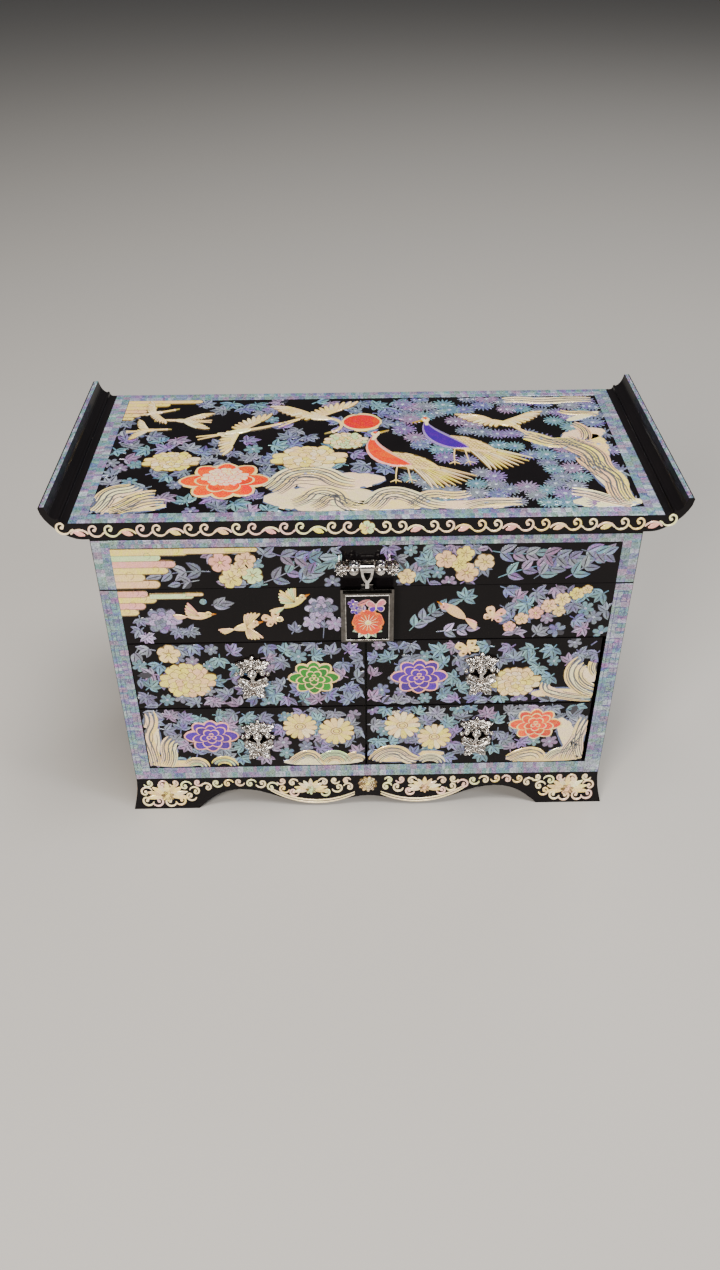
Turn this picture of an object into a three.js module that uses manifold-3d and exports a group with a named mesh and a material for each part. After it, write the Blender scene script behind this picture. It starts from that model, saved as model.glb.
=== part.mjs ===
// A lacquered jewelry box inlaid with shell: a mirrored lid on two hinges, a clasp,
// a velvet-lined well and four drawers with swinging butterfly pulls.
// Millimetres, +Z up, +X to the right, the front faces -Y.
// The origin is on the table, under the middle of the box.

import * as THREE from "three";
import { mergeVertices } from "three/addons/utils/BufferGeometryUtils.js";
import Module from "manifold-3d";

const wasm = await Module();
wasm.setup();

// Driving dimensions.
const BODY_HALF_WIDTH = 135;
const BODY_HALF_DEPTH = 62;
const PLATE_HALF_DEPTH = 70;
const BASE_HEIGHT = 21.5;
const SEAM_HEIGHT = 156.5;
const LID_BOTTOM = 156.8;
const LID_WALL_TOP = 192;
const PLATE_THICKNESS = 9;
const TIP_HEIGHT = 210;
const TIP_HALF_WIDTH = 154;
const PANEL_HALF_WIDTH = 136;
const BASE_FLARE = 3.5;

const SIDE_THICKNESS = 9;
const FRONT_THICKNESS = 8;
const BACK_THICKNESS = 6;
const FLOOR_THICKNESS = 6;
const BOARD_THICKNESS = 4;
const PARTITION_THICKNESS = 3;
const RAIL_TOP = 30.5;
const BAND_BOTTOM = 122.3;

const FIT_GAP = 0.3;
const DRAWER_FRONT_WIDTH = 124.4;
const DRAWER_FRONT_HEIGHT = 44.9;
const DRAWER_ROW_PITCH = 45.8;
const DRAWER_BOX_WIDTH = 120;
const DRAWER_BOX_HEIGHT = 38.6;
const DRAWER_BOX_BACK = 48;
const DRAWER_WALL = 4;
const DRAWER_LINING = 2;

const HINGE_SPACING = 170;
const HINGE_WIDTH = 27;
const HINGE_RADIUS = 2.3;
const HINGE_PIN_RADIUS = 0.9;
const HINGE_BORE_RADIUS = 1.2;

const CLASP_AXIS_HEIGHT = 171;
const CLASP_AXIS_OUT = 4.3;
const CLASP_FRAME_HALF_WIDTH = 13.5;
const CLASP_FRAME_BOTTOM = 125.4;
const CLASP_FRAME_TOP = 158.3;
const CLASP_STUD_HEIGHT = 136;

const ROUND_SIDES = 24;

// Derived sizes.
const INNER_HALF_WIDTH = BODY_HALF_WIDTH - SIDE_THICKNESS;
const FRONT_Y = -BODY_HALF_DEPTH;
const INNER_FRONT_Y = FRONT_Y + FRONT_THICKNESS;
const INNER_BACK_Y = BODY_HALF_DEPTH - BACK_THICKNESS;
const PLATE_TOP = LID_WALL_TOP + PLATE_THICKNESS;
const DRAWER_BOTTOM = RAIL_TOP + FIT_GAP;

// ---------------------------------------------------------------- materials

function finish(color, roughness, metalness) {
  return new THREE.MeshStandardMaterial({ color, roughness, metalness });
}

const lacquer = () => finish(0x0c0b0e, 0.15, 0);
const nickel = () => finish(0xb9b4ad, 0.28, 1);
const brass = () => finish(0xa98a4f, 0.35, 1);
const velvet = () => finish(0x6d1020, 0.95, 0);
const plainWood = () => finish(0x1a1412, 0.45, 0);
const mirrorGlass = () => finish(0xdfe5e8, 0.03, 1);
const pearl = () => finish(0x8fa0b4, 0.2, 0.1);

// ---------------------------------------------------------------- geometry

// A box between two corners, with its faces exactly at the given coordinates.
function block(x0, x1, y0, y1, z0, z1) {
  const geometry = new THREE.BoxGeometry(1, 1, 1);
  const position = geometry.attributes.position;
  for (let i = 0; i < position.count; i += 1) {
    position.setXYZ(
      i,
      position.getX(i) < 0 ? x0 : x1,
      position.getY(i) < 0 ? y0 : y1,
      position.getZ(i) < 0 ? z0 : z1,
    );
  }
  return geometry;
}

// A shape drawn in (x, z), pushed from yStart towards the front by length.
function extrudeForward(shape, yStart, length) {
  const geometry = new THREE.ExtrudeGeometry(shape, {
    depth: length,
    bevelEnabled: false,
    curveSegments: 8,
  });
  const turn = new THREE.Matrix4().makeBasis(
    new THREE.Vector3(1, 0, 0),
    new THREE.Vector3(0, 0, 1),
    new THREE.Vector3(0, -1, 0),
  );
  return geometry.applyMatrix4(turn).translate(0, yStart, 0);
}

// A shape drawn in (y, z), pushed from xStart to the right by length.
function extrudeRight(shape, xStart, length) {
  const geometry = new THREE.ExtrudeGeometry(shape, {
    depth: length,
    bevelEnabled: false,
    curveSegments: 8,
  });
  const turn = new THREE.Matrix4().makeBasis(
    new THREE.Vector3(0, 1, 0),
    new THREE.Vector3(0, 0, 1),
    new THREE.Vector3(1, 0, 0),
  );
  return geometry.applyMatrix4(turn).translate(xStart, 0, 0);
}

function rodAlongX(radius, x0, x1, y, z) {
  const rod = new THREE.CylinderGeometry(radius, radius, x1 - x0, ROUND_SIDES);
  return rod.rotateZ(Math.PI / 2).translate((x0 + x1) / 2, y, z);
}

function discAlongY(radius, y0, y1, x, z) {
  const disc = new THREE.CylinderGeometry(radius, radius, y1 - y0, ROUND_SIDES);
  return disc.translate(x, (y0 + y1) / 2, z);
}

function ellipsoid(rx, ry, rz, x, y, z) {
  const ball = new THREE.SphereGeometry(1, 16, 12);
  return ball.scale(rx, ry, rz).translate(x, y, z);
}

function toSolid(geometry) {
  const bare = geometry.clone();
  bare.deleteAttribute("normal");
  bare.deleteAttribute("uv");
  const merged = mergeVertices(bare, 1e-4);
  return new wasm.Manifold(new wasm.Mesh({
    numProp: 3,
    vertProperties: Float32Array.from(merged.attributes.position.array),
    triVerts: Uint32Array.from(merged.index.array),
  }));
}

function toGeometry(solid) {
  const mesh = solid.getMesh();
  const geometry = new THREE.BufferGeometry();
  geometry.setAttribute("position", new THREE.BufferAttribute(mesh.vertProperties, 3));
  geometry.setIndex(new THREE.BufferAttribute(mesh.triVerts, 1));
  return geometry;
}

// Joins the first list of geometries and cuts the second list away.
function carve(joined, removed = []) {
  let solid = toSolid(joined[0]);
  for (const geometry of joined.slice(1)) {
    solid = solid.add(toSolid(geometry));
  }
  for (const geometry of removed) {
    solid = solid.subtract(toSolid(geometry));
  }
  return toGeometry(solid);
}

// An outline that is the same on both sides of its upright centre line. curves holds
// [controlX, controlY, endX, endY] for the right half, from startY up or down the line.
function twinShape(startY, curves) {
  const shape = new THREE.Shape();
  shape.moveTo(0, startY);
  for (const [controlX, controlY, endX, endY] of curves) {
    shape.quadraticCurveTo(controlX, controlY, endX, endY);
  }
  for (let i = curves.length - 1; i > 0; i -= 1) {
    const [controlX, controlY] = curves[i];
    const [, , endX, endY] = curves[i - 1];
    shape.quadraticCurveTo(-controlX, controlY, -endX, endY);
  }
  const [controlX, controlY] = curves[0];
  shape.quadraticCurveTo(-controlX, controlY, 0, startY);
  return shape;
}

function addMesh(parent, name, geometry, material) {
  const mesh = new THREE.Mesh(geometry, material);
  mesh.name = name;
  parent.add(mesh);
}

// ---------------------------------------------------------------- base

// The outer face of the base leans out towards the floor in a shallow hollow curve.
function baseProfile() {
  const steps = 6;
  const points = [];
  for (let i = 0; i <= steps; i += 1) {
    const z = (BASE_HEIGHT * i) / steps;
    const out = BASE_FLARE * (1 - z / BASE_HEIGHT) ** 1.8;
    points.push(new THREE.Vector2(out, z));
  }
  points.push(new THREE.Vector2(-SIDE_THICKNESS, BASE_HEIGHT));
  points.push(new THREE.Vector2(-SIDE_THICKNESS, 0));
  return points;
}

// A front apron whose ends are mitred: a profile point that stands out by `out` is
// also further along at both ends by the same amount.
function mitredApron(halfLength, halfDepth) {
  const mitreGap = FIT_GAP / 2;
  const profile = baseProfile();
  const count = profile.length;
  const vertices = [];
  for (const side of [-1, 1]) {
    for (const point of profile) {
      vertices.push(side * (halfLength + point.x - mitreGap), -(halfDepth + point.x), point.y);
    }
  }
  const indices = [];
  for (const [a, b, c] of THREE.ShapeUtils.triangulateShape(profile, [])) {
    indices.push(a, b, c);
    indices.push(count + a, count + c, count + b);
  }
  for (let i = 0; i < count; i += 1) {
    const next = (i + 1) % count;
    indices.push(i, count + i, count + next);
    indices.push(i, count + next, next);
  }
  const geometry = new THREE.BufferGeometry();
  geometry.setAttribute("position", new THREE.Float32BufferAttribute(vertices, 3));
  geometry.setIndex(indices);
  return geometry;
}

// Two arches between the feet, with a low lobe on each side of a small middle arch.
function longScallop() {
  const below = -1;
  const shape = new THREE.Shape();
  shape.moveTo(-100, below);
  shape.lineTo(-100, 0);
  shape.bezierCurveTo(-93, 6.5, -86, 12.6, -75, 12.6);
  shape.bezierCurveTo(-58, 12.6, -50, 2.4, -31.4, 2.4);
  shape.bezierCurveTo(-19, 2.4, -9, 6.8, 0, 6.8);
  shape.bezierCurveTo(9, 6.8, 19, 2.4, 31.4, 2.4);
  shape.bezierCurveTo(50, 2.4, 58, 12.6, 75, 12.6);
  shape.bezierCurveTo(86, 12.6, 93, 6.5, 100, 0);
  shape.lineTo(100, below);
  return shape;
}

// The short sides have two arches with one lobe between them.
function shortScallop() {
  const below = -1;
  const shape = new THREE.Shape();
  shape.moveTo(-39, below);
  shape.lineTo(-39, 0);
  shape.bezierCurveTo(-34, 6.5, -29, 12.6, -21, 12.6);
  shape.bezierCurveTo(-13, 12.6, -9, 5, 0, 5);
  shape.bezierCurveTo(9, 5, 13, 12.6, 21, 12.6);
  shape.bezierCurveTo(29, 12.6, 34, 6.5, 39, 0);
  shape.lineTo(39, below);
  return shape;
}

function apron(halfLength, halfDepth, scallop) {
  const cutter = extrudeForward(scallop, -halfDepth + 2 * SIDE_THICKNESS, 4 * SIDE_THICKNESS);
  return carve([mitredApron(halfLength, halfDepth)], [cutter]);
}

function makeBase() {
  const base = new THREE.Group();
  const long = () => apron(BODY_HALF_WIDTH, BODY_HALF_DEPTH, longScallop());
  const short = () => apron(BODY_HALF_DEPTH, BODY_HALF_WIDTH, shortScallop());
  addMesh(base, "base_front", long(), lacquer());
  addMesh(base, "base_back", long().rotateZ(Math.PI), lacquer());
  addMesh(base, "base_left", short().rotateZ(-Math.PI / 2), lacquer());
  addMesh(base, "base_right", short().rotateZ(Math.PI / 2), lacquer());
  return base;
}

// ---------------------------------------------------------------- carcass

const FLOOR_TOP = DRAWER_BOTTOM + FIT_GAP;
const WELL_FLOOR_TOP = BAND_BOTTOM + BOARD_THICKNESS;
const SHELF_TOP = DRAWER_BOTTOM + DRAWER_ROW_PITCH + FIT_GAP;
const SHELF_BOTTOM = SHELF_TOP - PARTITION_THICKNESS;
const PARTITION_FRONT_Y = INNER_FRONT_Y + FIT_GAP;

function makeCarcass() {
  const carcass = new THREE.Group();
  const halfSheet = PARTITION_THICKNESS / 2;
  const inside = [-INNER_HALF_WIDTH, INNER_HALF_WIDTH];
  addMesh(
    carcass,
    "side_left",
    block(-BODY_HALF_WIDTH, -INNER_HALF_WIDTH, FRONT_Y, BODY_HALF_DEPTH, BASE_HEIGHT, SEAM_HEIGHT),
    lacquer(),
  );
  addMesh(
    carcass,
    "side_right",
    block(INNER_HALF_WIDTH, BODY_HALF_WIDTH, FRONT_Y, BODY_HALF_DEPTH, BASE_HEIGHT, SEAM_HEIGHT),
    lacquer(),
  );
  addMesh(
    carcass,
    "back_panel",
    block(...inside, INNER_BACK_Y, BODY_HALF_DEPTH, BASE_HEIGHT, SEAM_HEIGHT),
    lacquer(),
  );
  addMesh(
    carcass,
    "bottom_rail",
    block(...inside, FRONT_Y, INNER_FRONT_Y, BASE_HEIGHT, RAIL_TOP),
    lacquer(),
  );
  addMesh(
    carcass,
    "band_front",
    block(...inside, FRONT_Y, INNER_FRONT_Y, BAND_BOTTOM, SEAM_HEIGHT),
    lacquer(),
  );
  addMesh(
    carcass,
    "floor_panel",
    block(...inside, INNER_FRONT_Y, INNER_BACK_Y, FLOOR_TOP - FLOOR_THICKNESS, FLOOR_TOP),
    plainWood(),
  );
  addMesh(
    carcass,
    "well_floor",
    block(...inside, INNER_FRONT_Y, INNER_BACK_Y, BAND_BOTTOM, WELL_FLOOR_TOP),
    plainWood(),
  );
  addMesh(
    carcass,
    "drawer_shelf",
    block(...inside, PARTITION_FRONT_Y, INNER_BACK_Y, SHELF_BOTTOM, SHELF_TOP),
    plainWood(),
  );
  addMesh(
    carcass,
    "divider_lower",
    block(-halfSheet, halfSheet, PARTITION_FRONT_Y, INNER_BACK_Y, FLOOR_TOP, SHELF_BOTTOM),
    plainWood(),
  );
  addMesh(
    carcass,
    "divider_upper",
    block(-halfSheet, halfSheet, PARTITION_FRONT_Y, INNER_BACK_Y, SHELF_TOP, BAND_BOTTOM),
    plainWood(),
  );
  return carcass;
}

// ---------------------------------------------------------------- velvet-lined well

const WELL_LINING_TOP = WELL_FLOOR_TOP + 1.6;
const WELL_PARTITION_TOP = 150;
const WELL_PARTITION_Y = 8;
const WELL_CELL_X = 43;
const RING_ROLLS = 5;
const RING_ROLL_RADIUS = 5.9;
const RING_ROLL_BASE = 9;

// Ring rolls lie side by side from front to back, each a half-round on a flat pad.
function ringRollShape(yStart, zStart) {
  const shape = new THREE.Shape();
  shape.moveTo(yStart, zStart);
  for (let i = 0; i < RING_ROLLS; i += 1) {
    const centre = yStart + RING_ROLL_RADIUS * (2 * i + 1);
    shape.absarc(centre, zStart + RING_ROLL_BASE, RING_ROLL_RADIUS - 0.05, Math.PI, 0, true);
  }
  shape.lineTo(yStart + 2 * RING_ROLLS * RING_ROLL_RADIUS, zStart);
  return shape;
}

function makeWell() {
  const well = new THREE.Group();
  const sheet = PARTITION_THICKNESS;
  const inside = [-INNER_HALF_WIDTH, INNER_HALF_WIDTH];
  const partitionZ = [WELL_LINING_TOP, WELL_PARTITION_TOP];
  addMesh(
    well,
    "well_lining",
    block(...inside, INNER_FRONT_Y, INNER_BACK_Y, WELL_FLOOR_TOP, WELL_LINING_TOP),
    velvet(),
  );
  addMesh(
    well,
    "well_partition_long",
    block(...inside, WELL_PARTITION_Y, WELL_PARTITION_Y + sheet, ...partitionZ),
    velvet(),
  );
  addMesh(
    well,
    "well_partition_front",
    block(-sheet / 2, sheet / 2, INNER_FRONT_Y, WELL_PARTITION_Y, ...partitionZ),
    velvet(),
  );
  const backCells = [["left", -WELL_CELL_X], ["right", WELL_CELL_X]];
  for (const [side, x] of backCells) {
    const partition = block(
      x - sheet / 2,
      x + sheet / 2,
      WELL_PARTITION_Y + sheet,
      INNER_BACK_Y,
      ...partitionZ,
    );
    addMesh(well, `well_partition_${side}`, partition, velvet());
  }
  const rolls = extrudeRight(
    ringRollShape(INNER_FRONT_Y + 1.5, WELL_LINING_TOP + FIT_GAP),
    -INNER_HALF_WIDTH + 2,
    INNER_HALF_WIDTH - 5,
  );
  addMesh(well, "ring_cushion", rolls, velvet());
  return well;
}

// ---------------------------------------------------------------- lid

// The raised end of the top: a thin tip over a hollow cove and a small bead, with the
// underside sweeping up from the level of the panel's lower face.
function endMouldingShape() {
  const joint = PANEL_HALF_WIDTH;
  const shape = new THREE.Shape();
  shape.moveTo(joint, LID_WALL_TOP);
  shape.bezierCurveTo(143, LID_WALL_TOP, 153.6, 201.5, TIP_HALF_WIDTH, TIP_HEIGHT - 0.8);
  shape.quadraticCurveTo(TIP_HALF_WIDTH, TIP_HEIGHT, TIP_HALF_WIDTH - 0.8, TIP_HEIGHT);
  shape.lineTo(151, TIP_HEIGHT);
  shape.bezierCurveTo(150.2, 206.6, 149.4, 204.2, 146.8, 203.2);
  shape.absarc(146.1, 202.9, 0.7, 0.4, Math.PI, false);
  shape.quadraticCurveTo(145.2, PLATE_TOP, 143.4, PLATE_TOP);
  shape.lineTo(joint, PLATE_TOP);
  return shape;
}

function endMoulding(side) {
  const geometry = extrudeForward(endMouldingShape(), PLATE_HALF_DEPTH, 2 * PLATE_HALF_DEPTH);
  return side > 0 ? geometry : geometry.rotateZ(Math.PI);
}

const MIRROR_HALF_WIDTH = 107.7;
const MIRROR_Y = [-41.7, 43.7];
const MIRROR_Z = [189.1, 191.7];
const MIRROR_LIP = 3.7;
const MIRROR_FRAME_BOTTOM = 186;

function mirrorFrame() {
  const gap = FIT_GAP;
  const ring = block(
    -INNER_HALF_WIDTH,
    INNER_HALF_WIDTH,
    INNER_FRONT_Y,
    INNER_BACK_Y,
    MIRROR_FRAME_BOTTOM,
    LID_WALL_TOP,
  );
  const rebate = block(
    -MIRROR_HALF_WIDTH - gap,
    MIRROR_HALF_WIDTH + gap,
    MIRROR_Y[0] - gap,
    MIRROR_Y[1] + gap,
    MIRROR_Z[0] - gap,
    LID_WALL_TOP + 1,
  );
  const window = block(
    -MIRROR_HALF_WIDTH + MIRROR_LIP,
    MIRROR_HALF_WIDTH - MIRROR_LIP,
    MIRROR_Y[0] + MIRROR_LIP,
    MIRROR_Y[1] - MIRROR_LIP,
    MIRROR_FRAME_BOTTOM - 1,
    LID_WALL_TOP + 1,
  );
  return carve([ring], [rebate, window]);
}

function makeLid() {
  const lid = new THREE.Group();
  const joint = PANEL_HALF_WIDTH;
  const across = [-BODY_HALF_WIDTH, BODY_HALF_WIDTH];
  const wallZ = [LID_BOTTOM, LID_WALL_TOP];
  addMesh(lid, "lid_front", block(...across, FRONT_Y, INNER_FRONT_Y, ...wallZ), lacquer());
  addMesh(lid, "lid_back", block(...across, INNER_BACK_Y, BODY_HALF_DEPTH, ...wallZ), lacquer());
  addMesh(
    lid,
    "lid_left",
    block(-BODY_HALF_WIDTH, -INNER_HALF_WIDTH, INNER_FRONT_Y, INNER_BACK_Y, ...wallZ),
    lacquer(),
  );
  addMesh(
    lid,
    "lid_right",
    block(INNER_HALF_WIDTH, BODY_HALF_WIDTH, INNER_FRONT_Y, INNER_BACK_Y, ...wallZ),
    lacquer(),
  );
  addMesh(
    lid,
    "top_panel",
    block(-joint, joint, -PLATE_HALF_DEPTH, PLATE_HALF_DEPTH, LID_WALL_TOP, PLATE_TOP),
    lacquer(),
  );
  addMesh(lid, "end_moulding_left", endMoulding(-1), lacquer());
  addMesh(lid, "end_moulding_right", endMoulding(1), lacquer());
  addMesh(lid, "mirror_frame", mirrorFrame(), plainWood());
  addMesh(
    lid,
    "mirror",
    block(-MIRROR_HALF_WIDTH, MIRROR_HALF_WIDTH, ...MIRROR_Y, ...MIRROR_Z),
    mirrorGlass(),
  );
  return lid;
}

// ---------------------------------------------------------------- hinges

const HINGE_AXIS_Y = BODY_HALF_DEPTH + HINGE_RADIUS + FIT_GAP;
const HINGE_AXIS_Z = (SEAM_HEIGHT + LID_BOTTOM) / 2;
const HINGE_LEAF_THICKNESS = 1.4;
const HINGE_LEAF_HEIGHT = 13;
const HINGE_LEAF_CLEARANCE = 0.35;

// One leaf with its knuckles. A knuckle is [start, end] along the pin; the space that
// the other leaf's knuckles turn in is cut from the plate.
function hingeLeaf(x, zLow, zHigh, knuckles, otherKnuckles) {
  const plate = block(
    x - HINGE_WIDTH / 2,
    x + HINGE_WIDTH / 2,
    BODY_HALF_DEPTH,
    BODY_HALF_DEPTH + HINGE_LEAF_THICKNESS,
    zLow,
    zHigh,
  );
  const barrels = knuckles.map(([start, end]) => (
    rodAlongX(HINGE_RADIUS, x + start, x + end, HINGE_AXIS_Y, HINGE_AXIS_Z)
  ));
  const clearances = otherKnuckles.map(([start, end]) => rodAlongX(
    HINGE_RADIUS + FIT_GAP,
    x + start - FIT_GAP,
    x + end + FIT_GAP,
    HINGE_AXIS_Y,
    HINGE_AXIS_Z,
  ));
  const bore = rodAlongX(
    HINGE_BORE_RADIUS,
    x - HINGE_WIDTH,
    x + HINGE_WIDTH,
    HINGE_AXIS_Y,
    HINGE_AXIS_Z,
  );
  return carve([plate, ...barrels], [...clearances, bore]);
}

function makeHinge(group, side, x) {
  const half = HINGE_WIDTH / 2;
  const outer = [[-half, -5], [5, half]];
  const middle = [[-4.7, 4.7]];
  const bodyTop = HINGE_AXIS_Z - HINGE_LEAF_CLEARANCE;
  const lidBottom = HINGE_AXIS_Z + HINGE_LEAF_CLEARANCE;
  addMesh(
    group,
    `hinge_body_leaf_${side}`,
    hingeLeaf(x, bodyTop - HINGE_LEAF_HEIGHT, bodyTop, outer, middle),
    brass(),
  );
  addMesh(
    group,
    `hinge_lid_leaf_${side}`,
    hingeLeaf(x, lidBottom, lidBottom + HINGE_LEAF_HEIGHT, middle, outer),
    brass(),
  );
  addMesh(
    group,
    `hinge_pin_${side}`,
    rodAlongX(HINGE_PIN_RADIUS, x - half, x + half, HINGE_AXIS_Y, HINGE_AXIS_Z),
    nickel(),
  );
}

// ---------------------------------------------------------------- clasp

const CLASP_AXIS_Y = FRONT_Y - CLASP_AXIS_OUT;

// Rosettes and beads on a bar across the lid front, with the hanger's pin between.
function claspMount() {
  const strip = block(-14, 14, FRONT_Y - 1.4, FRONT_Y, 168.4, 173.6);
  const pieces = [strip];
  for (const side of [-1, 1]) {
    pieces.push(discAlongY(3.4, FRONT_Y - 3, FRONT_Y, side * 12.6, CLASP_AXIS_HEIGHT));
    pieces.push(ellipsoid(2.9, 3.1, 3.8, side * 6.6, CLASP_AXIS_Y, CLASP_AXIS_HEIGHT));
  }
  pieces.push(rodAlongX(0.9, -6, 6, CLASP_AXIS_Y, CLASP_AXIS_HEIGHT));
  return carve(pieces);
}

// A wishbone that turns on the pin and holds the frame by a tongue behind it.
function claspHanger() {
  const outline = new THREE.Shape();
  outline.moveTo(-3.3, CLASP_AXIS_HEIGHT);
  outline.quadraticCurveTo(-3.1, 164.5, -0.9, 162.4);
  outline.lineTo(-0.9, 159);
  outline.lineTo(0.9, 159);
  outline.lineTo(0.9, 162.4);
  outline.quadraticCurveTo(3.1, 164.5, 3.3, CLASP_AXIS_HEIGHT);
  const gap = new THREE.Path();
  gap.moveTo(-1.9, 168.6);
  gap.quadraticCurveTo(-1.7, 165.4, 0, 163.6);
  gap.quadraticCurveTo(1.7, 165.4, 1.9, 168.6);
  outline.holes.push(gap);
  const fork = extrudeForward(outline, CLASP_AXIS_Y + 2, 3);
  const barrel = rodAlongX(2, -3.4, 3.4, CLASP_AXIS_Y, CLASP_AXIS_HEIGHT);
  const tongue = block(-3, 3, CLASP_AXIS_Y + 1.1, CLASP_AXIS_Y + 2, 151, 160);
  const bore = rodAlongX(1.2, -4, 4, CLASP_AXIS_Y, CLASP_AXIS_HEIGHT);
  return carve([fork, barrel, tongue], [bore]);
}

const CLASP_TILE_HALF_WIDTH = 10.7;
const CLASP_TILE_Z = [128.2, 155.5];
const CLASP_RECESS_Y = CLASP_AXIS_Y - 0.6;

function claspFrame() {
  const half = CLASP_FRAME_HALF_WIDTH;
  const step = 1.2;
  const back = block(
    -half,
    half,
    CLASP_AXIS_Y - 1.1,
    CLASP_AXIS_Y + 0.8,
    CLASP_FRAME_BOTTOM,
    CLASP_FRAME_TOP,
  );
  const rim = block(
    -half + step,
    half - step,
    CLASP_AXIS_Y - 2.7,
    CLASP_AXIS_Y - 0.9,
    CLASP_FRAME_BOTTOM + step,
    CLASP_FRAME_TOP - step,
  );
  const recess = block(
    -CLASP_TILE_HALF_WIDTH - 0.2,
    CLASP_TILE_HALF_WIDTH + 0.2,
    CLASP_AXIS_Y - 5,
    CLASP_RECESS_Y,
    CLASP_TILE_Z[0] - 0.2,
    CLASP_TILE_Z[1] + 0.2,
  );
  return carve([back, rim], [recess]);
}

function claspStud() {
  const profile = [[0, 0], [3, 0], [3, 0.8], [1.6, 1.2], [1.6, 2], [2.3, 2.4], [1.6, 2.8], [0, 2.9]];
  const points = profile.map(([radius, height]) => new THREE.Vector2(radius, height));
  const lathe = new THREE.LatheGeometry(points, ROUND_SIDES);
  return lathe.rotateX(Math.PI).translate(0, FRONT_Y, CLASP_STUD_HEIGHT);
}

function makeClasp() {
  const clasp = new THREE.Group();
  const tile = block(
    -CLASP_TILE_HALF_WIDTH,
    CLASP_TILE_HALF_WIDTH,
    CLASP_AXIS_Y - 2.1,
    CLASP_RECESS_Y,
    ...CLASP_TILE_Z,
  );
  addMesh(clasp, "clasp_mount", claspMount(), nickel());
  addMesh(clasp, "clasp_hanger", claspHanger(), nickel());
  addMesh(clasp, "clasp_frame", claspFrame(), nickel());
  addMesh(clasp, "clasp_tile", tile, pearl());
  addMesh(clasp, "clasp_stud", claspStud(), nickel());
  return clasp;
}

// ---------------------------------------------------------------- drawers and pulls

const PULL_PIN_OUT = 4;
const PULL_LUG_X = 2.6;

// The upper butterfly is fixed to the drawer, with two lugs that carry the pin.
function pullPlate() {
  const outline = twinShape(-2, [
    [4.5, -2.4, 7.2, 0.6],
    [9.4, 2.6, 8.4, 4.6],
    [10.4, 7.4, 8.8, 9.4],
    [5.2, 11.6, 2.2, 7.8],
    [2.4, 10.4, 0, 10.8],
  ]);
  const wings = extrudeForward(outline, 0, 1.5);
  const bodyBoss = ellipsoid(2, 1.6, 4, 0, -1.7, 5.6);
  const pin = rodAlongX(0.6, -PULL_LUG_X - 0.6, PULL_LUG_X + 0.6, -PULL_PIN_OUT, 0);
  const lugs = [-1, 1].map((side) => {
    const near = side * PULL_LUG_X;
    const far = side * (PULL_LUG_X + 1.2);
    return block(Math.min(near, far), Math.max(near, far), -PULL_PIN_OUT - 1.2, -1, -1.2, 1.2);
  });
  return carve([wings, bodyBoss, pin, ...lugs]);
}

// The lower butterfly hangs on the pin by a short barrel and swings out to be pulled.
function pullPendant() {
  const outline = twinShape(-1, [
    [1.8, -0.9, 2.2, -2],
    [7, -1.6, 9.7, -2.6],
    [9.9, -7.4, 6.6, -10],
    [9.2, -12.4, 8.2, -15.6],
    [6.4, -19.4, 4.2, -18.6],
    [2.2, -16.6, 1.6, -14.6],
    [1.4, -19.6, 0, -20.4],
  ]);
  const wings = extrudeForward(outline, -PULL_PIN_OUT + 0.8, 1.6);
  const body = ellipsoid(1.7, 1.5, 6.4, 0, -PULL_PIN_OUT, -9.4);
  const barrel = rodAlongX(1.5, -2.2, 2.2, -PULL_PIN_OUT, 0);
  const bore = rodAlongX(0.9, -3, 3, -PULL_PIN_OUT, 0);
  return carve([wings, body, barrel], [bore]);
}

// Sides, back and bottom in one glued box; the drawer front closes it.
function drawerBox() {
  const half = DRAWER_BOX_WIDTH / 2;
  const shell = block(-half, half, INNER_FRONT_Y, DRAWER_BOX_BACK, 0, DRAWER_BOX_HEIGHT);
  const inside = block(
    -half + DRAWER_WALL,
    half - DRAWER_WALL,
    INNER_FRONT_Y - 1,
    DRAWER_BOX_BACK - DRAWER_WALL,
    PARTITION_THICKNESS,
    DRAWER_BOX_HEIGHT + 1,
  );
  return carve([shell], [inside]);
}

const DRAWER_COLUMNS = [
  { name: "left", boxX: -63.75, frontX: -63.5, pullX: -61.5 },
  { name: "right", boxX: 63.75, frontX: 61.9, pullX: 61.2 },
];
const DRAWER_ROWS = [
  { name: "lower", z: DRAWER_BOTTOM },
  { name: "upper", z: DRAWER_BOTTOM + DRAWER_ROW_PITCH },
];
const DRAWER_BOX_LIFT = 0.6;
const PULL_PIN_HEIGHT = 26.9;

function makeDrawer(row, column) {
  const drawer = new THREE.Group();
  const name = `${row.name}_${column.name}`;
  const half = DRAWER_FRONT_WIDTH / 2;
  drawer.position.z = row.z;
  const front = block(
    column.frontX - half,
    column.frontX + half,
    FRONT_Y,
    INNER_FRONT_Y,
    0,
    DRAWER_FRONT_HEIGHT,
  );
  const liningHalf = DRAWER_BOX_WIDTH / 2 - DRAWER_WALL;
  const lining = block(
    -liningHalf,
    liningHalf,
    INNER_FRONT_Y,
    DRAWER_BOX_BACK - DRAWER_WALL,
    PARTITION_THICKNESS,
    PARTITION_THICKNESS + DRAWER_LINING,
  );
  const box = new THREE.Group();
  box.position.set(column.boxX, 0, DRAWER_BOX_LIFT);
  addMesh(box, `drawer_box_${name}`, drawerBox(), plainWood());
  addMesh(box, `drawer_lining_${name}`, lining, velvet());
  const pull = new THREE.Group();
  pull.position.set(column.pullX, FRONT_Y, PULL_PIN_HEIGHT);
  addMesh(pull, `pull_plate_${name}`, pullPlate(), nickel());
  addMesh(pull, `pull_pendant_${name}`, pullPendant(), nickel());
  addMesh(drawer, `drawer_front_${name}`, front, lacquer());
  drawer.add(box, pull);
  return drawer;
}

// ---------------------------------------------------------------- assembly

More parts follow.
